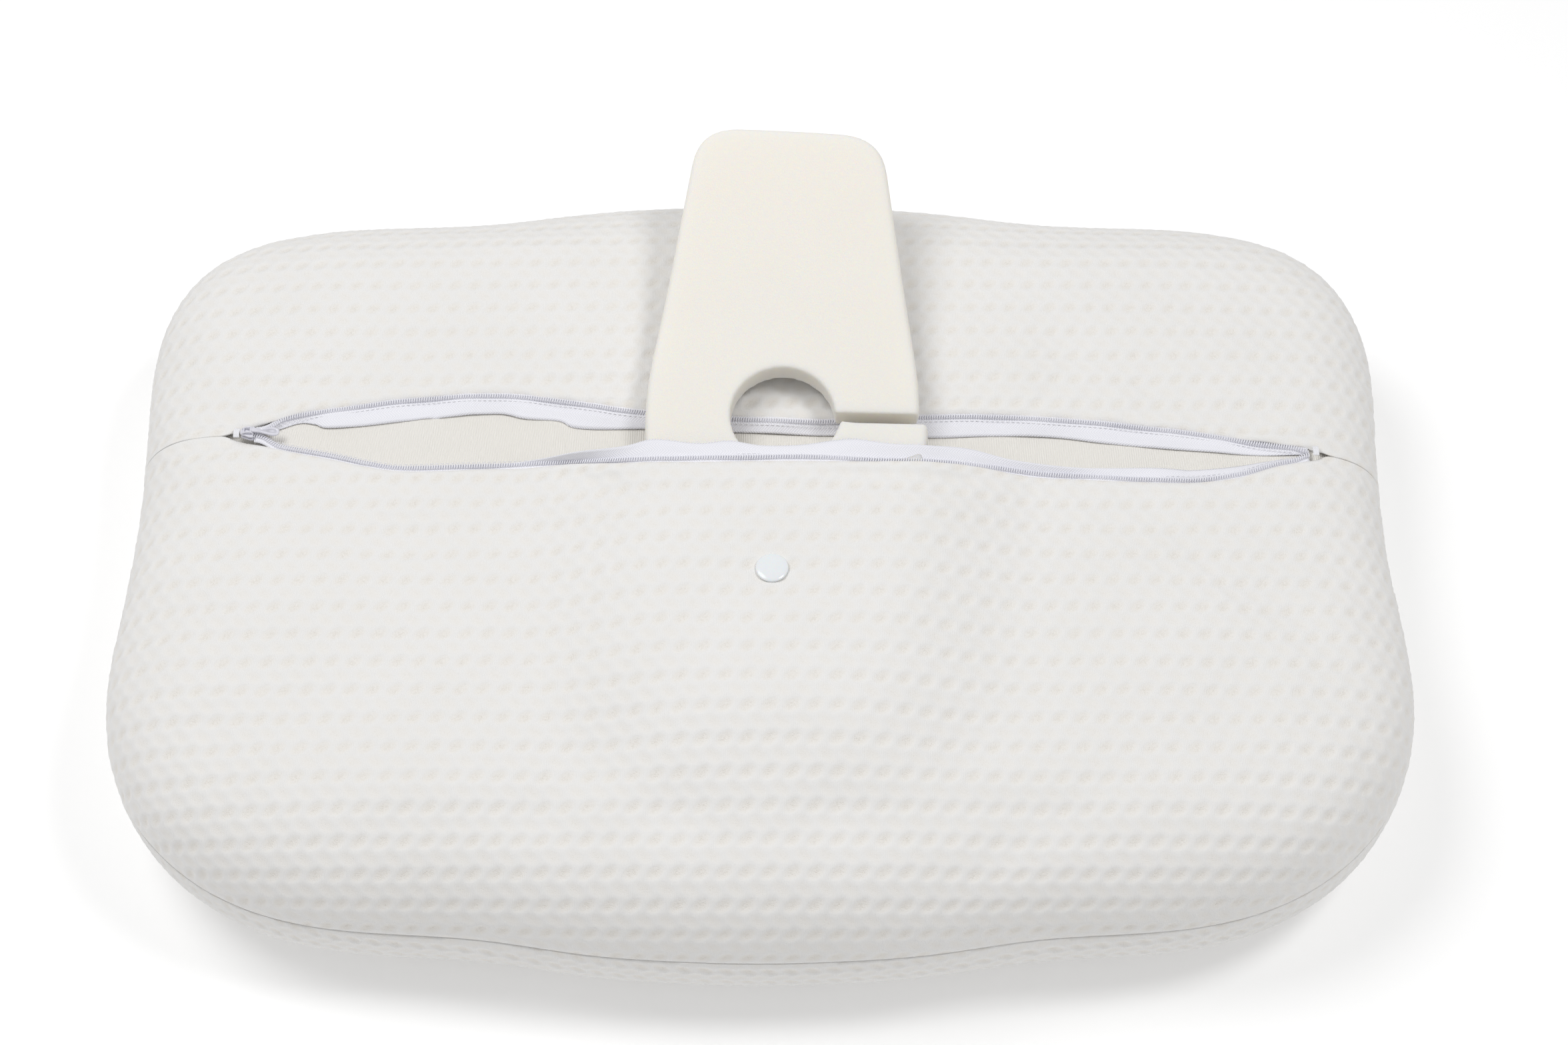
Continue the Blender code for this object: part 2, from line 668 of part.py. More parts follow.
def main():
    stud_room, socket_room, plate_room = make_snap()
    front, back = make_cover()
    make_liner_and_foam(plate_room)
    make_layer(stud_room, socket_room)
    make_zip_side("back", back, LIP_BACK, 1, TAPE_START_BACK, TAPE_RISE_BACK)
    make_zip_side("front", front, LIP_FRONT, -1, TAPE_START_FRONT, TAPE_RISE_FRONT)
    make_slider()


if __name__ == "__main__":
    clear_scene()
    PARTS = collection("butterfly_pillow")
    CUTTERS = collection("cutters", hidden=True)
    STRETCH = stretch_for_size()
    main()
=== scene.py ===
# %% [markdown]
# # A butterfly foam pillow, its height layer half pulled out
# The pillow lies on its sleeping side, so the flat side with the zip faces up. The zip is open like a
# mouth, and a cream foam layer with a round hole comes out of it and leans back over the far panel. The
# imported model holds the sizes, the places and the joints. This script makes what the eye meets: knit,
# foam, tape and teeth.

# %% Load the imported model
import json
import math

import bmesh
import bpy
import numpy as np
from mathutils import Matrix, Vector
from mathutils.bvhtree import BVHTree


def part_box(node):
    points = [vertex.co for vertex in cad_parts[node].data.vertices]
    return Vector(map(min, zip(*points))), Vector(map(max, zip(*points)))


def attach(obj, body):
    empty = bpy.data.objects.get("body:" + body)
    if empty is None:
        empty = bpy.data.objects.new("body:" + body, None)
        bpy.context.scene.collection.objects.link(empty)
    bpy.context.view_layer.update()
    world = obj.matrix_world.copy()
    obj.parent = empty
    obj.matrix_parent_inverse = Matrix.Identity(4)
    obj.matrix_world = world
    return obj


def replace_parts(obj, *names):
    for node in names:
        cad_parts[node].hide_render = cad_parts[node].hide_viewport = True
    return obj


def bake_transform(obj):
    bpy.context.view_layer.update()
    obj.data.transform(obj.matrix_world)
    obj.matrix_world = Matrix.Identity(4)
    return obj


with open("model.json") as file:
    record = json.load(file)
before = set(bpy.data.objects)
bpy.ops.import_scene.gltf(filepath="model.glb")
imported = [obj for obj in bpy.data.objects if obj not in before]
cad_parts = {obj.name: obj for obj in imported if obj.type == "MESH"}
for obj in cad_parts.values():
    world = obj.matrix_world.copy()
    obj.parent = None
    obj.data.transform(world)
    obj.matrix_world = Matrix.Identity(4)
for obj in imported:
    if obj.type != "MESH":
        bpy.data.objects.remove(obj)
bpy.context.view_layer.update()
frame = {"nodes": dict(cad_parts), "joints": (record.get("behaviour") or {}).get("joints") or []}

MM = 0.001

# %% [markdown]
# ## Helpers for materials
# Colours are written as sRGB hex and turned to linear light once. One helper adds a node with its
# settings and links, so a tree reads like a list. Every material starts from the same Principled shader.

# %% Helpers for materials
def linear(hex_colour):
    """Linear RGBA from an sRGB hex value such as 'F4F3F1'."""
    values = [int(hex_colour[i : i + 2], 16) / 255 for i in (0, 2, 4)]
    return (*[v / 12.92 if v <= 0.04045 else ((v + 0.055) / 1.055) ** 2.4 for v in values], 1)


MATH, VECTORS, COMBINE = "ShaderNodeMath", "ShaderNodeVectorMath", "ShaderNodeCombineXYZ"
MIX, NOISE, WAVE = "ShaderNodeMix", "ShaderNodeTexNoise", "ShaderNodeTexWave"


def output(value):
    """A node's first output. A socket or a number stays as it is."""
    return value.outputs[0] if isinstance(value, bpy.types.Node) else value


def put(tree, kind, inputs=(), **settings):
    """Adds a node with its own settings. Inputs come in order or by name: numbers, sockets or nodes."""
    made = tree.nodes.new(kind)
    for name, value in settings.items():
        setattr(made, name, value)
    for key, given in (inputs if isinstance(inputs, dict) else dict(enumerate(inputs))).items():
        value = output(given)
        if isinstance(value, bpy.types.NodeSocket):
            tree.links.new(value, made.inputs[key])
        else:
            made.inputs[key].default_value = value
    return made


def finish(name, roughness, **sockets):
    """A material and its Principled shader."""
    made = bpy.data.materials.new(name)
    made.use_nodes = True
    shader = made.node_tree.nodes["Principled BSDF"]
    shader.inputs["Roughness"].default_value = roughness
    for key, value in sockets.items():
        shader.inputs[key.replace("_", " ")].default_value = value
    return made, made.node_tree, shader


def feed(tree, shader, colour, height, distance):
    """Links a colour and a bump to the shader: a height of 1 stands distance metres proud."""
    tree.links.new(output(colour), shader.inputs["Base Color"])
    raised = put(tree, "ShaderNodeBump", {"Height": height, "Distance": distance, "Strength": 1.0})
    tree.links.new(raised.outputs["Normal"], shader.inputs["Normal"])


# %% [markdown]
# ## The cover's knit
# The cover is an air-layer jacquard: a white double knit of polyester. Its face is drawn in at small
# leaf-shaped hollows, in rows 7.1 mm apart and 9.6 mm from leaf to leaf. Each row leans the other way
# from the last, and every other row is shallower. The floor of a hollow is an open mesh, and the warmer
# ground yarn shows through it. The hollows could be bump only, but they are about 0.8 mm deep and catch
# the light at the pillow's rim, so the mesh has them too. The shader adds what is finer: 0.8 mm wales and
# the open mesh in each hollow.

# %% The leaf pattern, once for the mesh and once for the shader
LEAF_PITCH = 9.6 * MM  # along a row
LEAF_ROW = 7.1 * MM  # from row to row
LEAF_LENGTH = 4.9 * MM  # half of it
LEAF_WIDTH = 3.1 * MM  # half of it
LEAF_LEAN = math.radians(33)
LEAF_DEPTH = 0.95 * MM
SHALLOW = 0.4  # how much less deep every other row is
EVEN_SHIFT = 4000.0  # rows added before Modulo, which needs a number above zero
WALE = 0.8 * MM
HOLE = 0.75 * MM  # from hole to hole of the open mesh


def leaf_depth(u, v):
    """How far the knit is drawn in, 0 to 1, at pattern coordinates in metres."""
    odd = np.mod(np.floor(v / LEAF_ROW), 2)
    across = (np.mod(u / LEAF_PITCH + 0.5 * odd, 1) - 0.5) * LEAF_PITCH
    along = (np.mod(v / LEAF_ROW, 1) - 0.5) * LEAF_ROW
    lean = np.where(odd > 0.5, -LEAF_LEAN, LEAF_LEAN)
    a = across * np.cos(lean) + along * np.sin(lean)
    b = along * np.cos(lean) - across * np.sin(lean)
    return np.exp(-((a / LEAF_LENGTH) ** 2) - (b / LEAF_WIDTH) ** 2) * (1 - SHALLOW * odd)


def leaf_nodes(tree, u, v):
    """The same pattern in shader nodes."""
    rows = put(tree, MATH, (v, LEAF_ROW), operation="DIVIDE")
    above_zero = put(tree, MATH, (rows, EVEN_SHIFT), operation="ADD")
    odd = put(tree, MATH, (put(tree, MATH, (above_zero,), operation="FLOOR"), 2.0), operation="MODULO")
    steps = put(tree, MATH, (u, LEAF_PITCH), operation="DIVIDE")
    leaf = put(tree, MATH, (odd, 0.5, steps), operation="MULTIPLY_ADD")
    across = put(tree, MATH, (put(tree, MATH, (leaf,), operation="FRACT"), 0.5), operation="SUBTRACT")
    across = put(tree, MATH, (across, LEAF_PITCH), operation="MULTIPLY")
    along = put(tree, MATH, (put(tree, MATH, (rows,), operation="FRACT"), 0.5), operation="SUBTRACT")
    along = put(tree, MATH, (along, LEAF_ROW), operation="MULTIPLY")
    side = put(tree, MATH, (odd, -2.0 * math.sin(LEAF_LEAN), math.sin(LEAF_LEAN)), operation="MULTIPLY_ADD")
    upright = math.cos(LEAF_LEAN)
    along_side = put(tree, MATH, (along, side), operation="MULTIPLY")
    across_side = put(tree, MATH, (across, side), operation="MULTIPLY")
    a = put(tree, MATH, (across, upright, along_side), operation="MULTIPLY_ADD")
    along_upright = put(tree, MATH, (along, upright), operation="MULTIPLY")
    b = put(tree, MATH, (along_upright, across_side), operation="SUBTRACT")
    a_share = put(tree, MATH, (a, LEAF_LENGTH), operation="DIVIDE")
    b_share = put(tree, MATH, (b, LEAF_WIDTH), operation="DIVIDE")
    b_square = put(tree, MATH, (b_share, b_share), operation="MULTIPLY")
    edge = put(tree, MATH, (a_share, a_share, b_square), operation="MULTIPLY_ADD")
    inside = put(tree, MATH, (1.0, edge), operation="SUBTRACT", use_clamp=True)
    depth = put(tree, MATH, (odd, -SHALLOW, 1.0), operation="MULTIPLY_ADD")
    return put(tree, MATH, (inside, depth), operation="MULTIPLY")


# %% Knit material
def wave_scale(pitch):
    """The Wave node's scale for bands that repeat every pitch: it draws 20 radians in one unit."""
    return math.tau / (20 * pitch)


def knit_material():
    """Air-layer jacquard, polyester: matt, white, a little fuzz, warmer in the hollows."""
    made, tree, shader = finish("knit_air_layer", 0.88, Sheen_Weight=0.25, Sheen_Roughness=0.5, IOR=1.5)
    place = put(tree, "ShaderNodeUVMap", uv_map="weave").outputs[0]
    split = put(tree, "ShaderNodeSeparateXYZ", {0: place})
    u, v = split.outputs[0], split.outputs[1]
    hollow = leaf_nodes(tree, u, v)
    wale = put(tree, WAVE, {"Vector": place, "Scale": wave_scale(WALE), "Distortion": 1.2,
                            "Detail": 1.0, "Detail Scale": 60.0}, bands_direction="X")  # fmt: skip
    mesh = put(tree, "ShaderNodeTexVoronoi", {"Vector": place, "Scale": 1 / HOLE, "Randomness": 0.75},
               feature="DISTANCE_TO_EDGE")  # fmt: skip
    threads = put(tree, MATH, (mesh.outputs["Distance"], 2.0), operation="MULTIPLY", use_clamp=True)
    tone = put(tree, NOISE, {"Vector": place, "Scale": 18.0, "Detail": 3.0}).outputs[0]
    share = put(tree, MATH, (threads, 0.7, 0.5), operation="MULTIPLY_ADD")
    holes = put(tree, MATH, (hollow, share), operation="MULTIPLY", use_clamp=True)
    ground = put(tree, MIX, {"Factor": tone, 6: linear("F3F2F1"), 7: linear("EEEDEB")}, data_type="RGBA")
    ground = ground.outputs[2]
    colour = put(tree, MIX, {"Factor": holes, 6: ground, 7: linear("EEE9E1")}, data_type="RGBA")
    open_mesh = put(tree, MATH, (threads, hollow), operation="MULTIPLY")
    smooth_part = put(tree, MATH, (1.0, hollow), operation="SUBTRACT", use_clamp=True)
    wales = put(tree, MATH, (wale.outputs["Fac"], smooth_part), operation="MULTIPLY")
    height = put(tree, MATH, (open_mesh, -4.0, wales), operation="MULTIPLY_ADD")
    height = put(tree, MATH, (hollow, -2.4, height), operation="MULTIPLY_ADD")
    feed(tree, shader, colour.outputs[2], height, distance=0.045 * MM)
    return made


KNIT = knit_material()

# %% [markdown]
# ## The pillow's form
# Cloth on moulded foam is a smooth skin with a soft rim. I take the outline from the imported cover, so the
# two always agree, and describe the skin as a flat pattern laid over the form, the way the cover was cut.
# A pattern point inside the flat part stays where it is. One past it goes round the rim by its distance
# along the cloth. That keeps the knit even on the rim, which a box projection would smear.

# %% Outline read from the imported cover
RIM = 45 * MM  # how far in from the side the flat part starts
low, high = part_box("cover_sleeping_panel")
SEAM_Z = high.z
TOP_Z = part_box("cover_back_panel")[1].z
MIDDLE_Z = 0.52 * TOP_Z
ANGLES = np.linspace(0, 2 * math.pi, 720, endpoint=False)
OUTLINE_WAVES = 16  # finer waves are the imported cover's facets


def hit_tree(mesh):
    """A tree that finds where a ray meets a mesh."""
    return BVHTree.FromPolygons([v.co for v in mesh.vertices], [p.vertices for p in mesh.polygons])


def read_outline():
    """The outline's distance from the middle at each angle, smoothed to its first waves."""
    tree = hit_tree(frame["nodes"]["cover_sleeping_panel"].data)
    reach = []
    for angle in ANGLES:
        ray = Vector((math.cos(angle), math.sin(angle), 0))
        hit = tree.ray_cast(ray + Vector((0, 0, MIDDLE_Z)), -ray)[0]
        reach.append(hit.to_2d().length)
    waves = np.fft.rfft(reach)
    waves[OUTLINE_WAVES + 1 :] = 0
    reach = np.fft.irfft(waves, len(ANGLES))
    return np.stack([reach * np.cos(ANGLES), reach * np.sin(ANGLES)], 1)


OUTLINE = read_outline()


def normals_of(curve):
    """Outward normals of a closed curve that runs anticlockwise."""
    tangent = np.roll(curve, -1, 0) - np.roll(curve, 1, 0)
    tangent /= np.linalg.norm(tangent, axis=1)[:, None]
    return np.stack([tangent[:, 1], -tangent[:, 0]], 1)


AT_ONCE = 4000  # points that are measured together, which keeps the arrays small


def nearest(curve, points):
    """For each point: the segment's index, the share along it and the distance to the closed curve."""
    span = np.roll(curve, -1, 0) - curve
    length2 = (span**2).sum(1)
    index, share, distance = (np.empty(len(points)) for _ in range(3))
    for first in range(0, len(points), AT_ONCE):
        part = slice(first, first + AT_ONCE)
        to = points[part, None] - curve[None]
        t = np.clip((to * span).sum(2) / length2, 0, 1)
        gap = ((to - t[..., None] * span) ** 2).sum(2)
        best = gap.argmin(1)
        rows = np.arange(len(best))
        index[part] = best
        share[part] = t[rows, best]
        distance[part] = np.sqrt(gap[rows, best])
    return index.astype(int), share, distance


def inside(curve, points):
    """Whether each point is inside a closed curve, by counting crossings."""
    a, b = curve, np.roll(curve, -1, 0)
    result = np.zeros(len(points), bool)
    for first in range(0, len(points), AT_ONCE):
        part = slice(first, first + AT_ONCE)
        x, y = points[part, 0, None], points[part, 1, None]
        spans = (a[:, 1] > y) != (b[:, 1] > y)
        with np.errstate(divide="ignore", invalid="ignore"):
            cross = a[:, 0] + (y - a[:, 1]) * (b[:, 0] - a[:, 0]) / (b[:, 1] - a[:, 1])
        result[part] = (spans & (x < cross)).sum(1) % 2 == 1
    return result


OUTWARD = normals_of(OUTLINE)
print("outline reaches", np.round(np.abs(OUTLINE).max(0) / MM, 1), "mm from the middle")


# %% Section of the rim
def rim_section(height, power=2.25, steps=160):
    """(run, across, fall): distance along the cloth from the flat part, and how far out and down it is."""
    turn = np.linspace(0, math.pi / 2, steps)
    across = RIM * np.sin(turn) ** (2 / power)
    fall = height * (1 - np.cos(turn) ** (2 / power))
    run = np.concatenate([[0], np.cumsum(np.hypot(np.diff(across), np.diff(fall)))])
    return run, across, fall


UPPER = rim_section(TOP_Z - MIDDLE_Z)
LOWER = rim_section(MIDDLE_Z)
UPPER_RUN = float(np.interp(TOP_Z - SEAM_Z, UPPER[2], UPPER[0]))  # cloth from the flat part to the seam
LOWER_RUN = LOWER[0][-1] + SEAM_Z - MIDDLE_Z


def signed_distance(points):
    index, share, distance = nearest(OUTLINE, points)
    sign = np.where(inside(OUTLINE, points), -1, 1)
    following = (index + 1) % len(OUTLINE)
    outward = OUTWARD[index] * (1 - share)[:, None] + OUTWARD[following] * share[:, None]
    outward /= np.linalg.norm(outward, axis=1)[:, None]
    return sign * distance, outward


def wrap(points, section, start_z, sign):
    """Lays pattern points over the form: sign 1 for the zip side, -1 for the sleeping side."""
    distance, outward = signed_distance(points)
    run = distance + RIM
    across = np.interp(run, section[0], section[1])
    fall = np.interp(run, section[0], section[2])
    past = np.clip(run - section[0][-1], 0, None)  # straight up the wall, for the sleeping side
    move = np.where(run > 0, across - run, 0)
    flat = points + outward * move[:, None]
    return np.column_stack([flat, start_z - sign * (np.where(run > 0, fall, 0) + past)]), run


# %% [markdown]
# ## The mouth, the bump over the layer and the creases
# Both lips of the open zip are free curves from the slider on the left to the tack on the right. Under
# the near panel lies the hidden half of the layer: its outline shows as a low plateau, and its rise lifts
# the lip. Soft creases run from where the cloth is pulled: beside the lips, off the plateau's corners and
# near the right end.

# %% Lips of the mouth
LIP_BACK = (  # x, y in mm
    (-240, 47.9), (-231, 51.5), (-221, 56), (-200, 59.5), (-166, 64.5), (-134, 67), (-110, 66), (-82, 61.5),
    (-57, 57), (-14, 53), (34, 51), (75, 54), (107, 54.5), (149, 52), (190, 47.5), (217, 43.5), (238, 39.5),
    (259, 37),
)  # fmt: skip
LIP_FRONT = (
    (-240, 40.3), (-231, 38.4), (-219, 35), (-198, 30), (-183, 26), (-163, 23), (-122, 24.5), (-94, 24),
    (-65, 19), (-43, 18), (11, 18), (64, 17.5), (105, 20), (146, 19), (173, 17.5), (200, 17), (221, 20),
    (238, 26), (259, 30.9),
)  # fmt: skip
SEAM_LEFT = ((-340, 39.5), (-252, 44.1))  # where the two panels meet beyond the slider
SEAM_RIGHT = ((264, 33.6), (340, 30))  # and beyond the zip's right end
BUTT_GAP = 0.06 * MM


def smooth_line(points, steps=8):
    """Points on the Catmull-Rom curve through the given ones."""
    p = np.array(points, float)
    p = np.concatenate([[2 * p[0] - p[1]], p, [2 * p[-1] - p[-2]]])
    t = np.arange(steps)[:, None] / steps
    parts = [
        0.5 * (2 * b + (c - a) * t + (2 * a - 5 * b + 4 * c - d) * t**2 + (3 * b - a - 3 * c + d) * t**3)
        for a, b, c, d in zip(p, p[1:], p[2:], p[3:])
    ]
    return np.concatenate([*parts, p[-2:-1]])


def panel_edge(lip, side):
    """The panel's edge across the whole pillow: seam, lip and seam."""
    line = np.concatenate([SEAM_LEFT, smooth_line(lip), SEAM_RIGHT]) * MM
    line[:2, 1] += side * BUTT_GAP / 2
    line[-2:, 1] += side * BUTT_GAP / 2
    return line


EDGES = {1: panel_edge(LIP_BACK, 1), -1: panel_edge(LIP_FRONT, -1)}


def edge_y(x, side):
    return np.interp(x, EDGES[side][:, 0], EDGES[side][:, 1])


def smoothstep(x, low_edge, high_edge):
    t = np.clip((x - low_edge) / (high_edge - low_edge), 0, 1)
    return t * t * (3 - 2 * t)


# %% The layer's place, from its fold joint
LAYER_THICKNESS = 13.5 * MM
LAYER_HALF_LENGTH = 147.5 * MM
LAYER_HALF_MIDDLE = 65.5 * MM
LAYER_HALF_END = 44 * MM
FOLD_FROM_HOLE = -13 * MM
RISE = math.radians(12)
BEND = (-46 * MM, -24 * MM)  # the stretch of the layer that curves up to the mouth
LAYER_CORNER = 20 * MM
CLOTH_ROOM = 2.6 * MM  # from the layer's top to the outside of the cover over it
joints = {joint["name"]: joint for joint in frame["joints"]}
fold = joints["layer_fold"]
ACROSS = Vector(fold["axis"]).normalized()
ALONG = Vector((-ACROSS.y, ACROSS.x, 0))


def layer_curve():
    """(v, y, z, slope) of the underside's line, where v is the distance along it from the hole's middle."""
    v = np.linspace(-0.16, 0.16, 641)
    slope = RISE * smoothstep(v, *BEND)
    step = v[1] - v[0]
    y = np.cumsum(np.cos(slope)) * step
    z = np.cumsum(np.sin(slope)) * step
    here = int(round(np.interp(FOLD_FROM_HOLE, v, np.arange(len(v)))))
    y -= y[here] - LAYER_THICKNESS * math.sin(RISE)
    z -= z[here] + LAYER_THICKNESS * math.cos(RISE)
    return v, y, z, slope


CURVE = layer_curve()


def layer_place(u, v, w):
    """World places of layer points: u across, v along from the hole's middle, w above the underside."""
    y = np.interp(v, CURVE[0], CURVE[1])
    z = np.interp(v, CURVE[0], CURVE[2])
    slope = np.interp(v, CURVE[0], CURVE[3])
    y = y - w * np.sin(slope)
    z = z + w * np.cos(slope)
    start = np.array(fold["pos_m"])
    places = start + np.outer(u, np.array(ACROSS)) + np.outer(y, np.array(ALONG))
    places[:, 2] += z
    return places


def layer_plan(points):
    """(u, v) of plan points, leaving the slope out, which is small."""
    to = points - np.array(fold["pos_m"])[:2]
    return to @ np.array(ACROSS)[:2], to @ np.array(ALONG)[:2] + FOLD_FROM_HOLE


def beside_layer(points):
    """Distance outside the layer's plan, negative inside it."""
    u, v = layer_plan(points)
    width = LAYER_HALF_MIDDLE + (LAYER_HALF_END - LAYER_HALF_MIDDLE) * np.abs(v) / LAYER_HALF_LENGTH
    side = np.abs(u) - width
    end = np.abs(v) - LAYER_HALF_LENGTH
    most = np.maximum(side, end)
    out = np.hypot(*(np.clip(part + LAYER_CORNER, 0, None) for part in (side, end))) - LAYER_CORNER
    return np.where(most < -LAYER_CORNER, most, out)


PLATEAU = layer_place([0.0], [-0.1], [LAYER_THICKNESS])[0, 2] + CLOTH_ROOM - TOP_Z
print("the plateau stands", round(PLATEAU / MM, 1), "mm above the panel")

# %% Heights of the zip side
CREASES = (  # from, to, depth in mm, half width in mm
    ((62, -200), (104, -172), 1.6, 12), ((104, -172), (146, -146), 1.8, 12),
    ((142, 94), (182, 72), 1.6, 13), ((182, 72), (222, 46), 1.4, 12),
    ((-228, 18), (-163, -13), 1.8, 16), ((-163, -13), (-73, -11), 1.5, 15),
    ((-227, 67), (-160, 94), 1.5, 12), ((-160, 94), (-110, 100), 1.0, 13),
    ((-44, -98), (-92, -150), 1.3, 15), ((52, -98), (112, -132), 1.2, 15),
    ((-250, -60), (-205, -110), 1.2, 18), ((238, -30), (205, -95), 1.2, 18),
    ((92, 10), (150, -14), 1.2, 14), ((-262, 40), (-244, 42), 1.2, 8), ((264, 31), (280, 30), 1.0, 8),
)  # fmt: skip


def near_segment(points, a, b):
    a, b = np.array(a) * MM, np.array(b) * MM
    span = b - a
    t = np.clip(((points - a) @ span) / (span @ span), 0, 1)
    return np.linalg.norm(points - a - np.outer(t, span), axis=1)


def zip_side_height(points):
    """How far the zip side stands above the plain form."""
    points = np.asarray(points, float)
    beside = beside_layer(points)
    _, v = layer_plan(points)
    bump = PLATEAU * (1 - smoothstep(beside, -4 * MM, 62 * MM))
    rise = np.interp(v, CURVE[0], CURVE[2]) - CURVE[2][0]
    lifted = rise * (1 - smoothstep(beside, 0, 60 * MM))
    near_side = 1 - smoothstep(v, -4 * MM, 2 * MM)
    height = (bump + lifted) * near_side
    for a, b, depth, width in CREASES:
        height -= depth * MM * np.exp(-((near_segment(points, a, b) / (width * MM)) ** 2))
    x, y = points[:, 0], points[:, 1]
    swell = np.sin(x * 31 + 1.3 * np.sin(y * 23)) * np.sin(y * 37 + 0.8 + np.sin(x * 17))
    return height + 0.5 * MM * swell - 2.5 * MM * (x / 0.3) ** 2


# %% [markdown]
# ## Cover panels: grid, cloth and knit
# Each panel starts as a grid in the flat pattern, sheared so that its first row is the lip. Where the
# outline cuts the grid, its border points move onto the seam. Cloth under a little pressure, pinned at
# its seams, gives the panel the soft swells that sewn cloth has. Two subdivisions then make it fine
# enough for the knit's hollows. A displacement texture could do that too, but moving the points keeps the
# pattern in millimetres on the cloth.

# %% Helpers for meshes
def cover_with(mesh, material):
    """Gives a mesh one material in place of any it has."""
    mesh.materials.clear()
    mesh.materials.append(material)


def piece(name, mesh, material=None):
    made = bpy.data.objects.new(name, mesh)
    bpy.context.scene.collection.objects.link(made)
    if material:
        cover_with(mesh, material)
    mesh.shade_smooth()
    return made


def from_bmesh(name, made, material):
    mesh = bpy.data.meshes.new(name)
    made.to_mesh(mesh)
    made.free()
    return piece(name, mesh, material)


def points_of(mesh):
    co = np.empty(len(mesh.vertices) * 3)
    mesh.vertices.foreach_get("co", co)
    return co.reshape(-1, 3)


def move_points(mesh, places):
    mesh.vertices.foreach_set("co", np.asarray(places, np.float32).ravel())
    mesh.update()


def normals_at(mesh):
    values = np.empty(len(mesh.vertices) * 3, np.float32)
    mesh.vertex_normals.foreach_get("vector", values)
    return values.reshape(-1, 3).astype(float)


def settled(obj):
    """The object's mesh with its modifiers applied."""
    graph = bpy.context.evaluated_depsgraph_get()
    mesh = bpy.data.meshes.new_from_object(obj.evaluated_get(graph))
    obj.modifiers.clear()
    obj.data = mesh
    return obj


def thicken(obj, name, thickness, offset):
    """Gives cloth its thickness: offset -1 is inwards, 0 is half to each side."""
    wall = obj.modifiers.new(name, "SOLIDIFY")
    wall.thickness = thickness
    wall.offset = offset


def subdivide(obj, levels):
    fine = obj.modifiers.new("fine", "SUBSURF")
    fine.levels = fine.render_levels = levels


def even_out(obj, voxel, rounds):
    """Rebuilds a mesh in small even faces and smooths it."""
    even = obj.modifiers.new("even", "REMESH")
    even.mode = "VOXEL"
    even.voxel_size = voxel
    soft = obj.modifiers.new("soft", "SMOOTH")
    soft.iterations = rounds


def map_cloth(mesh, pattern):
    """Stores the pattern coordinates, in metres, as the UV map 'weave'."""
    layer = mesh.uv_layers.new(name="weave")
    corners = np.empty(len(mesh.loops), np.int32)
    mesh.loops.foreach_get("vertex_index", corners)
    layer.data.foreach_set("uv", pattern[corners].astype(np.float32).ravel())


def pattern_of(mesh):
    """The pattern coordinates of each point, read back from the UV map."""
    uv = np.empty(len(mesh.loops) * 2, np.float32)
    mesh.uv_layers["weave"].data.foreach_get("uv", uv)
    corners = np.empty(len(mesh.loops), np.int32)
    mesh.loops.foreach_get("vertex_index", corners)
    pattern = np.zeros((len(mesh.vertices), 2))
    pattern[corners] = uv.reshape(-1, 2)
    return pattern


# %% A panel's grid
SPACING = 5.6 * MM
REACH, DEEP = 0.345, 0.28  # a grid's half width and half depth, past the seam on every side
UPPER_LIMIT = UPPER_RUN - RIM  # how far past the outline's middle line the seam lies in the pattern
LOWER_LIMIT = LOWER_RUN - RIM


def trimmed_grid(rows_of_points, limit):
    """Keeps the part of a grid within limit of the outline and moves its border onto the limit."""
    rows, columns = rows_of_points.shape[:2]
    points = rows_of_points.reshape(-1, 2)
    distance, _ = signed_distance(points)
    kept = distance < limit + 0.45 * SPACING
    index = np.arange(rows * columns).reshape(rows, columns)
    corners = np.stack([index[:-1, :-1], index[:-1, 1:], index[1:, 1:], index[1:, :-1]], -1)
    corners = corners.reshape(-1, 4)
    faces = [tuple(c[kept[c]]) for c in corners if kept[c].sum() >= 3]
    used = sorted({v for face in faces for v in face})
    new = {old: i for i, old in enumerate(used)}
    faces = [tuple(new[v] for v in face) for face in faces]
    points = points[used]
    mesh = bpy.data.meshes.new("pattern")
    mesh.from_pydata([(*p, 0) for p in points], [], faces)
    made = bmesh.new()
    made.from_mesh(mesh)
    border = np.array([v.is_boundary for v in made.verts])
    made.free()
    distance, _ = signed_distance(points)
    moved = border & (distance > limit - 1.6 * SPACING)
    for _ in range(2):
        distance, outward = signed_distance(points[moved])
        points[moved] += outward * (limit - distance)[:, None]
    return mesh, points, border


ZIP_END_COLUMNS = [-0.252, -0.2495, -0.247, 0.2615, 0.264]  # close together where the lips part
LIP_ROWS = np.array([0, 1.6, 3.6, 6.4, 10.4, 15.4]) * MM  # close together beside the lip


def zip_side_grid(side):
    xs = np.arange(-REACH, REACH, SPACING)
    plain = [x for x in xs if min(abs(x - end) for end in ZIP_END_COLUMNS) > 2 * MM]
    xs = np.sort(np.concatenate([plain, ZIP_END_COLUMNS]))
    away = np.concatenate([LIP_ROWS, np.arange(LIP_ROWS[-1] + SPACING, 0.29, SPACING)])
    x, s = np.meshgrid(xs, away)
    grid = np.stack([x, edge_y(x, side) + side * s], -1)
    if side < 0:
        grid = grid[::-1]
    return trimmed_grid(grid, UPPER_LIMIT)


def plain_grid(spacing, limit, turn):
    """A grid with no lip. Turn -1 takes its rows the other way, so that its faces look down."""
    x, y = np.meshgrid(np.arange(-REACH, REACH, spacing), np.arange(-DEEP, DEEP, spacing))
    return trimmed_grid(np.stack([x, y], -1)[::turn], limit)


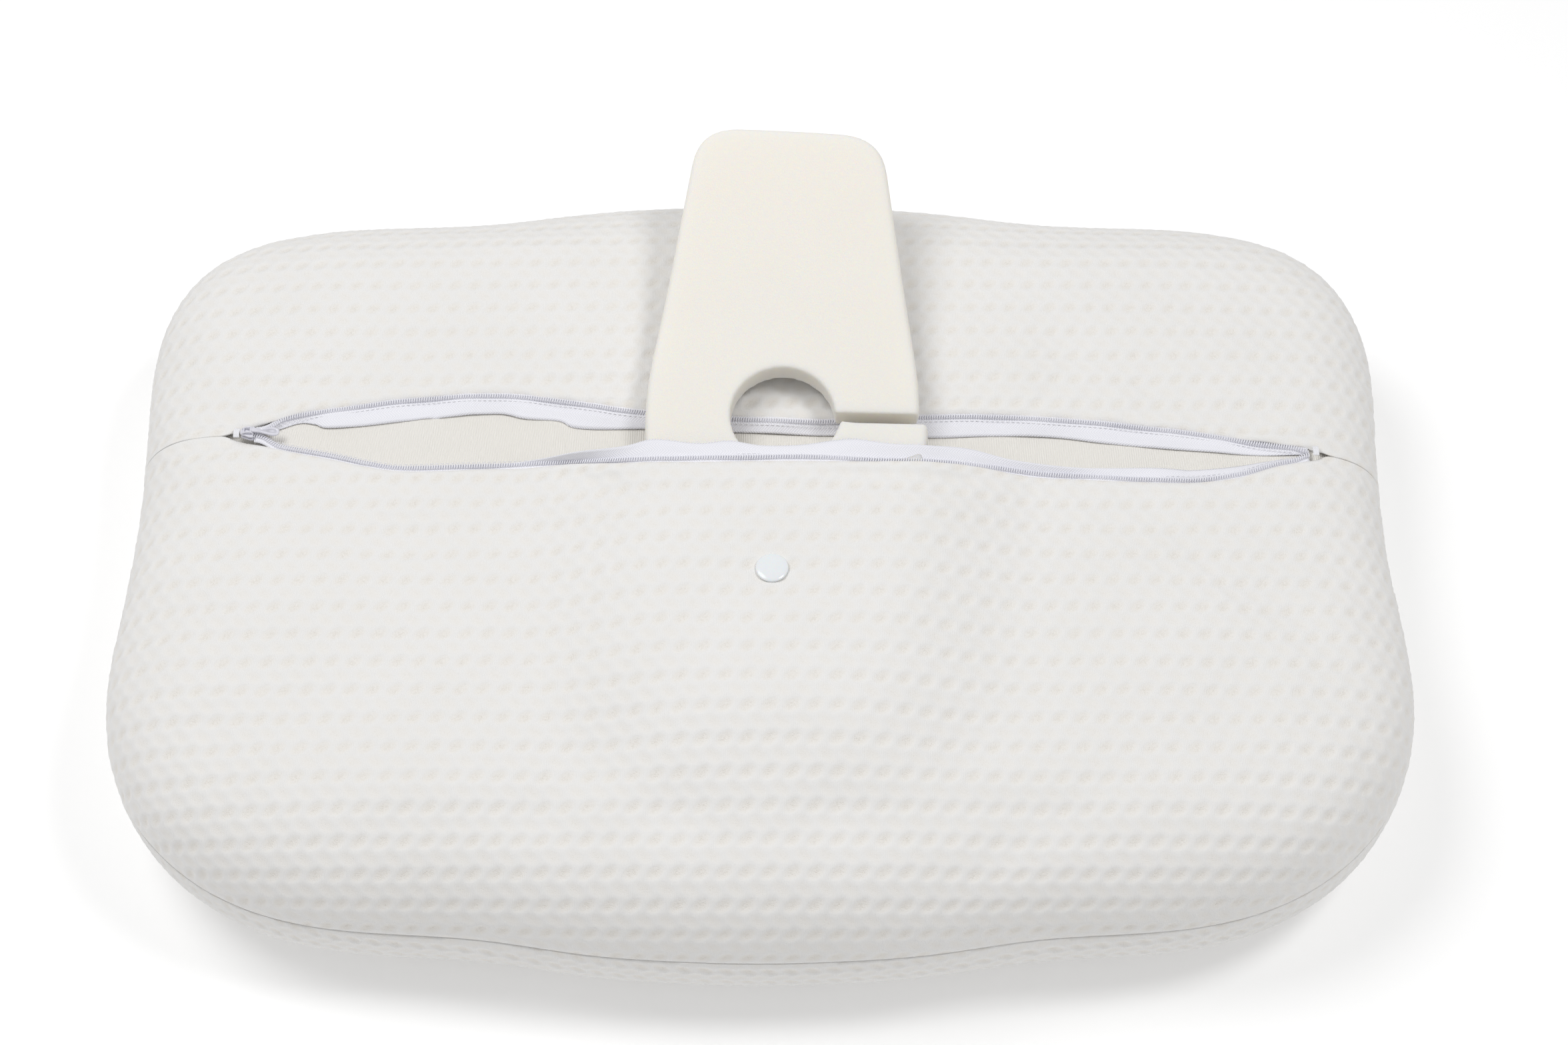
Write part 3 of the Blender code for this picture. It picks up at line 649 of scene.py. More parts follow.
# %% Cloth
CLOTH = {
    "quality": 5, "mass": 0.3, "tension_stiffness": 25, "compression_stiffness": 15,
    "bending_stiffness": 0.6, "use_pressure": True, "uniform_pressure_force": 4.0,
    "shrink_min": -0.012, "vertex_group_mass": "seams",
}  # fmt: skip
FRAMES = 20
CAP = 3.0 * MM  # the most that cloth may move outwards
SINK = 0.3 * MM  # and inwards, where the foam stops it
SWELL = 0.4  # share of the simulated movement that is kept


def simulate(obj, border):
    """Swells a panel that is pinned at its border."""
    before = points_of(obj.data)
    held = obj.vertex_groups.new(name="seams")
    held.add([int(i) for i in np.flatnonzero(border)], 1.0, "REPLACE")
    cloth = obj.modifiers.new("cloth", "CLOTH")
    for name, value in CLOTH.items():
        setattr(cloth.settings, name, value)
    cloth.settings.effector_weights.gravity = 0
    cloth.point_cache.frame_end = FRAMES
    for frame_number in range(1, FRAMES + 1):
        bpy.context.scene.frame_set(frame_number)
    settled(obj)
    bpy.context.scene.frame_set(1)
    moved = (points_of(obj.data) - before) * SWELL
    move_points(obj.data, before)
    out = normals_at(obj.data)
    swell = np.clip((moved * out).sum(1), -SINK, CAP)
    after = before + out * swell[:, None]
    after[:, 2] = np.maximum(after[:, 2], before[:, 2].min())  # the floor is in the way
    move_points(obj.data, after)
    print(obj.name, "swelled by", np.round(np.percentile(swell, [5, 50, 95]) / MM, 1), "mm")


# %% From grid to knitted panel
cap_low, cap_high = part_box("snap_cap")
CAP_MIDDLE = (cap_low + cap_high) / 2
CAP_RADIUS = (cap_high.x - cap_low.x) / 2
CAP_HEIGHT = cap_high.z - cap_low.z


def draw_in_at_stud(places):
    """The stud holds the cloth just under its cap."""
    away = np.hypot(places[:, 0] - CAP_MIDDLE.x, places[:, 1] - CAP_MIDDLE.y)
    hold = (1 - smoothstep(away, CAP_RADIUS, 4 * CAP_RADIUS)) * (places[:, 2] > MIDDLE_Z)
    puff = 0.5 * MM * np.exp(-(((away - 1.9 * CAP_RADIUS) / (0.6 * CAP_RADIUS)) ** 2))
    places[:, 2] += hold * (cap_low.z + 0.1 * MM - places[:, 2]) + puff * (places[:, 2] > MIDDLE_Z)


COVER_THICKNESS = 2.4 * MM
HEM = 3.2 * MM  # how far from the lip the folded edge turns down
SEAM_DIP = 1.1 * MM
SEAM_DIP_WIDTH = 2.6 * MM


def knit_panel(name, grid, places, seam_limit, lip_side):
    mesh, pattern, border = grid
    move_points(mesh, places)
    map_cloth(mesh, pattern)
    panel = piece(name, mesh, KNIT)
    simulate(panel, border)
    subdivide(panel, 2)
    settled(panel)
    mesh = panel.data
    pattern = pattern_of(mesh)
    if lip_side < 0:
        places = points_of(mesh)
        draw_in_at_stud(places)
        move_points(mesh, places)
    distance, _ = signed_distance(pattern)
    from_seam = np.clip(seam_limit - distance, 0, None)
    out = normals_at(mesh)
    calm = smoothstep(from_seam, 1 * MM, 6 * MM)
    lift = -SEAM_DIP * np.exp(-((from_seam / SEAM_DIP_WIDTH) ** 2))
    if lip_side:
        x, y = pattern.T
        from_lip = np.clip(lip_side * (y - edge_y(x, lip_side)), 0, None)
        calm *= smoothstep(from_lip, 1.5 * MM, 5 * MM)
        turned = np.clip(1 - from_lip / HEM, 0, 1)
        lip = smoothstep(x, -0.250, -0.244) * smoothstep(-x, -0.264, -0.260)
        lift -= HEM * (0.12 + 0.43 * lip) * (1 - np.sqrt(1 - turned**2))
        lift += 0.5 * MM * lip * np.exp(-(((from_lip - 4.5 * MM) / (2.5 * MM)) ** 2))
    lift -= LEAF_DEPTH * calm * leaf_depth(*pattern.T)
    move_points(mesh, points_of(mesh) + out * lift[:, None])
    mesh.shade_smooth()
    thicken(panel, "cloth", COVER_THICKNESS, -1)
    print(name, len(mesh.polygons), "faces before its thickness")
    return panel


# %% The two zip-side panels
HALF_SEAM = 0.02 * MM


def zip_side_panel(name, side):
    grid = zip_side_grid(side)
    places, run = wrap(grid[1], UPPER, TOP_Z, 1)
    places[:, 2] += zip_side_height(grid[1]) * (1 - smoothstep(run, 0, 60 * MM))
    places[:, 2] = np.maximum(places[:, 2], SEAM_Z + HALF_SEAM)
    panel = knit_panel(name, grid, places, UPPER_LIMIT, side)
    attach(panel, "pillow")
    return panel


back_panel = zip_side_panel("cover_back", 1)
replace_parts(back_panel, "cover_back_panel")
front_panel = zip_side_panel("cover_front", -1)
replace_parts(front_panel, "cover_front_panel")

# %% [markdown]
# ## The sleeping side
# The pillow rests on it, so little of it shows here: the wall under the seam. Seen from below, it has a
# hollow for the head. The hollow is a smooth dip in the middle, with a broad rim for the neck all round.

# %% The sleeping panel
CRADLE_DEPTH = 30 * MM


def cradle(points):
    angle = np.arctan2(points[:, 1], points[:, 0])
    reach = np.interp(angle % math.tau, ANGLES, np.linalg.norm(OUTLINE, axis=1), period=math.tau)
    share = np.linalg.norm(points, axis=1) / reach
    return CRADLE_DEPTH * (1 - smoothstep(share, 0.28, 0.72))


grid = plain_grid(SPACING, LOWER_LIMIT, -1)
places = wrap(grid[1], LOWER, 0.0, -1)[0]
places[:, 2] += cradle(grid[1])
places[:, 2] = np.minimum(places[:, 2], SEAM_Z - HALF_SEAM)
sleeping_panel = knit_panel("cover_sleeping", grid, places, LOWER_LIMIT, 0)
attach(sleeping_panel, "pillow")
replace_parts(sleeping_panel, "cover_sleeping_panel")

# %% [markdown]
# ## The liner
# Under the cover is a thin cream jersey bag that keeps the foam clean. It shows only in the mouth. It is
# laid over the same form as the cover, 3.6 mm further in, so it never comes through. Its ribs are 1.05 mm
# apart and run from front to back. One seam crosses the mouth left of the layer, with a raised band on
# each side.

# %% Jersey material
RIB = 1.05 * MM


def jersey_material():
    """Cotton rib jersey: matt, cream, a fine stripe of wales."""
    made, tree, shader = finish("cotton_jersey", 0.92, Sheen_Weight=0.2, Sheen_Roughness=0.5)
    place = put(tree, "ShaderNodeTexCoord").outputs["Object"]
    ribs = put(tree, WAVE, {"Vector": place, "Scale": wave_scale(RIB), "Distortion": 0.8, "Detail": 1.0,
                            "Detail Scale": 40.0}, bands_direction="X").outputs["Fac"]  # fmt: skip
    courses = put(tree, WAVE, {"Vector": place, "Scale": wave_scale(0.7 * RIB)},
                  bands_direction="Y").outputs["Fac"]  # fmt: skip
    tone = put(tree, NOISE, {"Vector": place, "Scale": 30.0, "Detail": 2.0}).outputs[0]
    dark = put(tree, MIX, {"Factor": tone, 6: linear("FEFBF5"), 7: linear("FBF7EE")}, data_type="RGBA")
    dark = dark.outputs[2]
    stripe = put(tree, MATH, (ribs, 0.5), operation="MULTIPLY")
    colour = put(tree, MIX, {"Factor": stripe, 6: dark, 7: linear("FFFDF9")}, data_type="RGBA")
    height = put(tree, MATH, (courses, 0.3, ribs), operation="MULTIPLY_ADD")
    feed(tree, shader, colour.outputs[2], height, distance=0.25 * MM)
    return made


JERSEY = jersey_material()

# %% Liner, both halves, and the foam core
LINER_GAP = 3.6 * MM  # from the cover's outside to the liner's
JERSEY_THICKNESS = 0.9 * MM
LINER_SPACING = 4.4 * MM
LINER_SEAM_X = -153 * MM
LINER_BANDS = (-158 * MM, -137 * MM)


def liner_ripple(points):
    """The jersey's loose swells, its vertical seam and the flat bands beside it."""
    x, y = points.T
    ripple = 0.5 * np.sin(y * 90 + 2.5 * np.sin(x * 21)) * np.sin(x * 47 + 1.4)
    ripple += 0.35 * np.sin(x * 120 + y * 30)
    seam = -0.9 * np.exp(-(((x - LINER_SEAM_X) / (1.6 * MM)) ** 2))
    bands = sum(0.5 * np.exp(-(((x - band) / (5 * MM)) ** 2)) for band in LINER_BANDS)
    return (ripple + seam + bands - 0.4) * MM


def liner_half(name, grid, places, lift, replaced):
    mesh, pattern, _ = grid
    move_points(mesh, places)
    move_points(mesh, places - normals_at(mesh) * LINER_GAP + [0, 0, 1] * lift[:, None])
    map_cloth(mesh, pattern)
    made = piece(name, mesh, JERSEY)
    subdivide(made, 1)
    thicken(made, "jersey", JERSEY_THICKNESS, -1)
    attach(made, "pillow")
    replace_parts(made, replaced)


grid = plain_grid(LINER_SPACING, UPPER_LIMIT, 1)
lift = liner_ripple(grid[1]) + np.minimum(zip_side_height(grid[1]), 0)
liner_half("inner_liner_upper", grid, wrap(grid[1], UPPER, TOP_Z, 1)[0], lift, "liner_upper")
grid = plain_grid(SPACING, LOWER_LIMIT, -1)
places = wrap(grid[1], LOWER, 0.0, -1)[0] + [0, 0, 1] * cradle(grid[1])[:, None]
liner_half("inner_liner_lower", grid, places, np.zeros(len(places)), "liner_lower")

# %% Foam core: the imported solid, made smooth and a little smaller
core = piece("foam_core", frame["nodes"]["core_foam"].data.copy())
weld = core.modifiers.new("weld", "WELD")
weld.merge_threshold = 0.00001
even_out(core, 6 * MM, 12)
shrink = core.modifiers.new("shrink", "DISPLACE")
shrink.strength = -3 * MM  # clear of the inner cover
shrink.mid_level = 0
settled(core)

# %% [markdown]
# ## The height layer
# It is one slab of cream polyurethane foam, cut by wire and softened along its edges. A hole 48 mm wide
# goes through it, with a slit to its right edge. A plain solid bends badly, so the slab is remeshed into
# small even faces while it is still flat. Then each point is laid along the curve that the layer takes
# under the cover and out of the mouth.

# %% Foam material
def foam_material(name, light, shade, cell):
    """Open-cell polyurethane foam: matt, lets a little light in, pin-prick cells."""
    made, tree, shader = finish(name, 0.95, Subsurface_Weight=0.5, Subsurface_Scale=0.012)
    shader.inputs["Subsurface Radius"].default_value = (1.0, 0.8, 0.5)
    place = put(tree, "ShaderNodeTexCoord").outputs["Object"]
    cells = put(tree, "ShaderNodeTexVoronoi", {"Vector": place, "Scale": 1 / cell}).outputs["Distance"]
    grain = put(tree, NOISE, {"Vector": place, "Scale": 0.5 / cell, "Detail": 3.0}).outputs[0]
    tone = put(tree, NOISE, {"Vector": place, "Scale": 14.0, "Detail": 2.0}).outputs[0]
    base = put(tree, MIX, {"Factor": tone, 6: linear(light), 7: linear(shade)}, data_type="RGBA")
    pits = put(tree, MATH, (cells, 0.5), operation="MULTIPLY")
    height = put(tree, MATH, (grain, 0.6, pits), operation="MULTIPLY_ADD")
    feed(tree, shader, base.outputs[2], height, distance=0.15 * MM)
    return made


LAYER_FOAM = foam_material("polyurethane_layer", "F3F0EA", "F0ECE4", 0.6 * MM)
CORE_FOAM = foam_material("polyurethane_core", "F2EEDF", "ECE6D2", 0.9 * MM)
cover_with(core.data, CORE_FOAM)
core.data.shade_smooth()
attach(core, "pillow")
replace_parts(core, "core_foam")

# %% Flat slab with its hole and slit
EDGE_ROUND = 3.4 * MM
CORNER = 22 * MM  # radius at the two ends
SOFT_CORNER = 30 * MM  # where the curve at the widest point starts
HOLE_RADIUS = 24 * MM
SLIT = 2.6 * MM


def arc(centre, radius, start, end, steps):
    angles = np.linspace(start, end, steps)
    return [(centre[0] + radius * math.cos(a), centre[1] + radius * math.sin(a)) for a in angles]


def layer_plan_outline():
    """Hexagon, widest across the hole, with round corners at its two ends and soft ones in the middle."""
    middle, end, far = LAYER_HALF_MIDDLE, LAYER_HALF_END, LAYER_HALF_LENGTH
    corners = [(middle, 0), (end, far), (-end, far), (-middle, 0), (-end, -far), (end, -far)]
    points = []
    for i, corner in enumerate(corners):
        here = Vector(corner)
        before = (Vector(corners[i - 1]) - here).normalized()
        after = (Vector(corners[(i + 1) % 6]) - here).normalized()
        back = CORNER / math.tan(before.angle(after) / 2) if corner[1] else SOFT_CORNER
        a, b = here + before * back, here + after * back
        points += [a.lerp(here, t).lerp(here.lerp(b, t), t) for t in np.linspace(0, 1, 9)]
    return points


def flat_solid(name, outline, low_z, high_z, rounding=0.0):
    """A filled 2D curve made solid, with rounded rims if asked."""
    curve = bpy.data.curves.new(name, "CURVE")
    curve.dimensions = "2D"
    curve.fill_mode = "BOTH"
    curve.extrude = (high_z - low_z) / 2 - rounding
    curve.bevel_depth = rounding
    curve.bevel_resolution = 4
    curve.offset = -rounding
    spline = curve.splines.new("POLY")
    spline.points.add(len(outline) - 1)
    for point, place in zip(spline.points, outline):
        point.co = (*place, 0, 1)
    spline.use_cyclic_u = True
    source = piece_from_curve(name, curve)
    source.data.transform(Matrix.Translation((0, 0, (high_z + low_z) / 2)))
    return source


def piece_from_curve(name, curve):
    holder = bpy.data.objects.new(name, curve)
    bpy.context.scene.collection.objects.link(holder)
    graph = bpy.context.evaluated_depsgraph_get()
    mesh = bpy.data.meshes.new_from_object(holder.evaluated_get(graph))
    bpy.data.objects.remove(holder)
    made = bmesh.new()
    made.from_mesh(mesh)
    bmesh.ops.remove_doubles(made, verts=made.verts, dist=1e-6)
    made.to_mesh(mesh)
    made.free()
    return piece(name, mesh)


def cut(target, tool):
    boolean = target.modifiers.new("cut", "BOOLEAN")
    boolean.operation = "DIFFERENCE"
    boolean.object = tool
    settled(target)
    bpy.data.objects.remove(tool)


slab = flat_solid("height_layer", layer_plan_outline(), 0, LAYER_THICKNESS, EDGE_ROUND)
half_angle = math.asin(SLIT / 2 / HOLE_RADIUS)
keyhole = arc((0, 0), HOLE_RADIUS, half_angle, math.tau - half_angle, 72)
keyhole += [(LAYER_HALF_MIDDLE * 1.3, -SLIT / 2), (LAYER_HALF_MIDDLE * 1.3, SLIT / 2)]
cut(slab, flat_solid("keyhole", keyhole, -LAYER_THICKNESS, 2 * LAYER_THICKNESS))
even_out(slab, 1.3 * MM, 4)
settled(slab)
print("layer:", len(slab.data.polygons), "faces")

# %% Layer laid in place
SLIT_OPEN = 2.0 * MM
STUB_SHIFT = 4 * MM
END_LIFT = 7 * MM


def relaxed(flat):
    """Small ways in which cut foam leaves its drawn shape: a shifted stub, an opened slit, a soft wave."""
    u, v, w = flat.T
    right = smoothstep(u, 0.6 * HOLE_RADIUS, 1.3 * HOLE_RADIUS)
    below = smoothstep(-v, -0.5 * MM, 0.5 * MM) * smoothstep(v, -60 * MM, -8 * MM)
    u = u + STUB_SHIFT * right * below
    over = smoothstep(v, 0, 2 * MM) * smoothstep(-v, -40 * MM, 0)
    v = v - SLIT_OPEN * right * below + 0.6 * MM * right * over
    wave = np.sin(u * 42 + v * 19) * np.sin(v * 33 + 0.7)
    out_of_mouth = smoothstep(v, 0, 80 * MM)
    curl = 1.6 * MM * out_of_mouth * (u / LAYER_HALF_END) ** 2
    lifted = smoothstep(v, 40 * MM, 160 * MM) * (END_LIFT - 3 * MM * u / LAYER_HALF_END)
    return u, v, w + (0.35 * MM * wave - curl) * out_of_mouth + lifted


move_points(slab.data, layer_place(*relaxed(points_of(slab.data))))
cover_with(slab.data, LAYER_FOAM)
slab.data.shade_smooth()
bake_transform(slab)
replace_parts(slab, "height_layer_tail", "height_layer_flap")

# %% [markdown]
# ## Zip tapes
# A woven polyester tape carries each row of teeth. It is sewn under the panel's folded edge and its free
# edge lies in the mouth: flat on the liner at the back, and up over the foam at the front. A tape is a
# narrow strip, so I describe it by its two edges and fill between them, with a slow wave, because sewn
# tape is never flat.

# %% Tape material
TAPE_RIB = 1.3 * MM


def tape_material():
    """Woven polyester tape: herringbone, cool white, a slight silk."""
    made, tree, shader = finish("polyester_tape", 0.62, Sheen_Weight=0.3, Sheen_Roughness=0.4)
    place = put(tree, "ShaderNodeUVMap", uv_map="weave").outputs[0]
    split = put(tree, "ShaderNodeSeparateXYZ", {0: place})
    zigzag = put(tree, MATH, (split.outputs[1], 2 * TAPE_RIB), operation="PINGPONG")
    along = put(tree, MATH, (split.outputs[0], zigzag), operation="ADD")
    slanted = put(tree, COMBINE, {0: along, 1: split.outputs[1]}).outputs[0]
    twill = put(tree, WAVE, {"Vector": slanted, "Scale": wave_scale(TAPE_RIB)}, bands_direction="X")
    twill = twill.outputs["Fac"]
    colour = put(tree, MIX, {"Factor": twill, 6: linear("ECECF4"), 7: linear("F7F7FC")}, data_type="RGBA")
    feed(tree, shader, colour.outputs[2], twill, distance=0.1 * MM)
    return made


TAPE = tape_material()

# %% Heights along the lips
panel_tree = {1: hit_tree(back_panel.data), -1: hit_tree(front_panel.data)}
SLIDER_SIZE = (6.5 * MM, 6.0 * MM, 3.4 * MM)  # along the zip, across and up
SLIDER_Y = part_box("zip_slider")[0].y / 2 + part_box("zip_slider")[1].y / 2
SLIDER_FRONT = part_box("zip_slider")[0].x + SLIDER_SIZE[0]
TACK_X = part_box("zip_tack_right")[0].x
TACK_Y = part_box("zip_tack_right")[0].y / 2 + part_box("zip_tack_right")[1].y / 2
ZIP_X = np.arange(SLIDER_FRONT, TACK_X, 1.4 * MM)
TEETH_OFF_LIP = 1.15 * MM
TEETH_BELOW_TOP = 0.8 * MM
CLOSING_LEFT = 12 * MM  # over which the teeth close to the slider
CLOSING_RIGHT = 9 * MM  # and to the end tack


def panel_top(side, x, y):
    """Height of a panel just inside its lip."""
    found = []
    for px, py in zip(x, y):
        above = Vector((px, py + side * 6 * MM, 1))
        hit = panel_tree[side].ray_cast(above, Vector((0, 0, -1)))[0]
        found.append(hit.z if hit else TOP_Z)
    return np.convolve(np.pad(found, 6, mode="edge"), np.ones(13) / 13, mode="valid")


def coil_line(side):
    """The row of teeth just off the lip, closing to the slider and to the end tack."""
    aside = edge_y(ZIP_X, side) - side * TEETH_OFF_LIP
    height = panel_top(side, ZIP_X, edge_y(ZIP_X, side)) - TEETH_BELOW_TOP
    start = smoothstep(ZIP_X, SLIDER_FRONT, SLIDER_FRONT + CLOSING_LEFT)
    end = smoothstep(-ZIP_X, -TACK_X, -TACK_X + CLOSING_RIGHT)
    y = SLIDER_Y + side * 1.1 * MM + (aside - SLIDER_Y - side * 1.1 * MM) * start
    y = TACK_Y + side * 1.2 * MM + (y - TACK_Y - side * 1.2 * MM) * end
    return np.column_stack([ZIP_X, y, height * start + (1 - start) * (TOP_Z - 1.2 * MM)])


COILS = {side: coil_line(side) for side in (1, -1)}

# %% Tapes
LAID = 90  # a height under the liner: there the tape lies on the liner
BACK_TAPE_EDGE = (  # x, y, z in mm
    (-237, 44.6, LAID), (-228, 48.6, LAID), (-217, 52.8, LAID), (-209, 51.6, LAID), (-201, 49.5, LAID),
    (-165, 53.5, LAID), (-127, 58, LAID), (-111, 54.5, LAID), (-95, 53.5, LAID), (-86, 49.5, LAID),
    (-57, 48.5, LAID), (10, 45.5, LAID), (78, 43.5, LAID), (132, 44.5, LAID), (159, 40.5, LAID),
    (182, 38.5, LAID), (225, 34.6, LAID), (258, 34.4, LAID),
)  # fmt: skip
FRONT_TAPE_EDGE = (
    (-237, 43.6, LAID), (-219, 37, LAID), (-198, 32, LAID), (-183, 28, LAID), (-163, 25, LAID),
    (-122, 26.5, 95), (-102, 26.8, 99.5), (-84, 24.4, 108.6), (-62, 25.4, 112.2), (-48, 28.2, 113.2),
    (-28, 26.2, 112.6), (-14, 27.6, 113), (1, 25.4, 112.4), (17, 25.4, 112.5), (34, 27.6, 113),
    (44, 28.4, 113.2), (60, 26.2, 112.8), (76, 26.2, 111.5), (95, 27.6, 106.5), (120, 25, 100.5),
    (152, 23.4, 97), (183, 25, 95), (215, 26, LAID), (236, 30.4, LAID), (258, 33.6, LAID),
)  # fmt: skip
TAPE_STEPS = 10
TAPE_THICKNESS = 0.55 * MM
TAPE_LIES = 0.7 * MM  # a tape's middle above the liner it lies on
KNEE = 0.35  # the share of a tape's width that lies under the panel and the teeth


def tape(name, side, edge):
    edge = smooth_line(edge) * MM
    inner = np.column_stack([ZIP_X, *(np.interp(ZIP_X, edge[:, 0], edge[:, i]) for i in (1, 2))])
    plan = inner[:, :2]
    on_liner = TOP_Z - LINER_GAP + liner_ripple(plan) + np.minimum(zip_side_height(plan), 0) + TAPE_LIES
    inner[:, 2] = np.maximum(inner[:, 2], on_liner)
    outer = COILS[side] + [0, side * 3.2 * MM, -0.9 * MM]
    knee = COILS[side] + [0, -side * 0.6 * MM, -0.75 * MM]  # the tape passes under the teeth
    share = np.linspace(0, 1, TAPE_STEPS)[:, None, None]
    under, clear = np.minimum(share / KNEE, 1), np.maximum(share - KNEE, 0) / (1 - KNEE)
    rows = outer[None] * (1 - under) + knee[None] * (under - clear) + inner[None] * clear
    wave = np.sin(ZIP_X * 95 + 1.2 * side) + 0.6 * np.sin(ZIP_X * 210)
    loose = share[:, :, 0] * (1 - share[:, :, 0]) * 2.2 + share[:, :, 0] * 0.35
    rows[:, :, 2] += loose * wave * 0.5 * MM
    if side < 0:
        rows = rows[::-1]
    length = np.concatenate([[0], np.cumsum(np.linalg.norm(np.diff(outer, axis=0), axis=1))])
    width = np.linalg.norm(rows - rows[:1], axis=2)
    count = len(ZIP_X)
    index = np.arange(TAPE_STEPS * count).reshape(TAPE_STEPS, count)
    faces = np.stack([index[1:, :-1], index[1:, 1:], index[:-1, 1:], index[:-1, :-1]], -1)
    faces = faces.reshape(-1, 4)
    mesh = bpy.data.meshes.new(name)
    mesh.from_pydata(rows.reshape(-1, 3).tolist(), [], faces.tolist())
    map_cloth(mesh, np.column_stack([np.tile(length, TAPE_STEPS), width.ravel()]))
    made = piece(name, mesh, TAPE)
    thicken(made, "tape", TAPE_THICKNESS, 0)
    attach(made, "pillow")
    return made


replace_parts(tape("tape_back", 1, BACK_TAPE_EDGE), "zip_tape_back")
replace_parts(tape("tape_front", -1, FRONT_TAPE_EDGE), "zip_tape_front")

# %% [markdown]
# ## Teeth and stitches by Geometry Nodes
# The teeth are one nylon strand wound into a coil and pressed oval, with a turn every 1.15 mm, so there
# are several hundred turns. A tree of nodes winds the strand round any line it is given: it resamples the
# line and moves each point round by its number. The stitches that hold the tape repeat too, so a second
# tree lays one stitch over and over along a line.

# %% Nylon and thread materials
def hard_material(name, roughness, light, dark, scale, detail, distance, **sockets):
    """A hard, glossy finish whose colour and surface vary a little."""
    made, tree, shader = finish(name, roughness, **sockets)
    place = put(tree, "ShaderNodeTexCoord").outputs["Object"]
    tone = put(tree, NOISE, {"Vector": place, "Scale": scale, "Detail": detail}).outputs[0]
    colour = put(tree, MIX, {"Factor": tone, 6: linear(light), 7: linear(dark)}, data_type="RGBA")
    feed(tree, shader, colour.outputs[2], tone, distance)
    return made


def thread_material():
    """Spun polyester thread: two plies twisted, matt."""
    made, tree, shader = finish("polyester_thread", 0.75, Sheen_Weight=0.3)
    place = put(tree, "ShaderNodeTexCoord").outputs["Object"]
    twist = put(tree, WAVE, {"Vector": place, "Scale": wave_scale(0.5 * MM)}, bands_direction="DIAGONAL")
    twist = twist.outputs["Fac"]
    colour = put(tree, MIX, {"Factor": twist, 6: linear("E9E9EF"), 7: linear("F8F8FA")}, data_type="RGBA")
    feed(tree, shader, colour.outputs[2], twist, distance=0.05 * MM)
    return made


# Drawn nylon strand: smooth, white, a soft gloss
NYLON = hard_material("nylon_coil", 0.32, "F6F6FB", "EAEAF2", 400.0, 1.0, 0.02 * MM, IOR=1.53)
THREAD = thread_material()

# %% Helpers for node trees
def start_tree(name, sizes):
    """A tree with a geometry input, named size inputs and a material; returns it with its group input."""
    tree = bpy.data.node_groups.new(name, "GeometryNodeTree")
    tree.interface.new_socket("Line", in_out="INPUT", socket_type="NodeSocketGeometry")
    for size in sizes:
        tree.interface.new_socket(size, in_out="INPUT", socket_type="NodeSocketFloat")
    tree.interface.new_socket("Finish", in_out="INPUT", socket_type="NodeSocketMaterial")
    tree.interface.new_socket("Result", in_out="OUTPUT", socket_type="NodeSocketGeometry")
    return tree, put(tree, "NodeGroupInput").outputs


def end_tree(tree, geometry, finish_socket):
    real = put(tree, "GeometryNodeRealizeInstances", {"Geometry": geometry}).outputs[0]
    done = put(tree, "GeometryNodeSetMaterial", {"Geometry": real, "Material": finish_socket}).outputs[0]
    put(tree, "NodeGroupOutput", {"Result": done})
    return tree


def grow(name, tree, line, material, **sizes):
    """Runs a tree along a line of points and returns the result as a plain piece."""
    mesh = bpy.data.meshes.new(name)
    mesh.from_pydata([tuple(p) for p in line], [(i, i + 1) for i in range(len(line) - 1)], [])
    source = bpy.data.objects.new(name, mesh)
    bpy.context.scene.collection.objects.link(source)
    modifier = source.modifiers.new("grow", "NODES")
    modifier.node_group = tree
    for key, value in {**sizes, "Finish": material}.items():
        modifier[tree.interface.items_tree[key].identifier] = value
    settled(source)
    source.data.shade_smooth()
    print(name, len(source.data.polygons), "faces")
    return source


# %% The coil's tree
TURN_POINTS = 9


def coil_tree():
    tree, given = start_tree("wound_coil", ("Pitch", "Width", "Height", "Strand"))
    curve = put(tree, "GeometryNodeMeshToCurve", {"Mesh": given["Line"]}).outputs[0]
    step = put(tree, MATH, (given["Pitch"], float(TURN_POINTS)), operation="DIVIDE")
    even = {"Curve": curve, "Length": step}
    even = put(tree, "GeometryNodeResampleCurve", even, mode="LENGTH").outputs[0]
    number = put(tree, "GeometryNodeInputIndex").outputs[0]
    angle = put(tree, MATH, (number, math.tau / TURN_POINTS), operation="MULTIPLY")
    tangent = put(tree, "GeometryNodeInputTangent").outputs[0]
    side = put(tree, VECTORS, {0: tangent, 1: (0, 0, 1)}, operation="CROSS_PRODUCT").outputs[0]
    cosine, sine = (put(tree, MATH, (angle,), operation=name) for name in ("COSINE", "SINE"))
    across = put(tree, MATH, (cosine, given["Width"]), operation="MULTIPLY")
    up = put(tree, MATH, (sine, given["Height"]), operation="MULTIPLY")
    sideways = put(tree, VECTORS, {0: side, "Scale": across}, operation="SCALE").outputs[0]
    upwards = put(tree, COMBINE, {2: up}).outputs[0]
    offset = put(tree, VECTORS, {0: sideways, 1: upwards}, operation="ADD").outputs[0]
    wound = put(tree, "GeometryNodeSetPosition", {"Geometry": even, "Offset": offset}).outputs[0]
    section = {"Resolution": 6, "Radius": given["Strand"]}
    section = put(tree, "GeometryNodeCurvePrimitiveCircle", section).outputs[0]
    strand = {"Curve": wound, "Profile Curve": section, "Fill Caps": True}
    strand = put(tree, "GeometryNodeCurveToMesh", strand)
    return end_tree(tree, strand.outputs[0], given["Finish"])


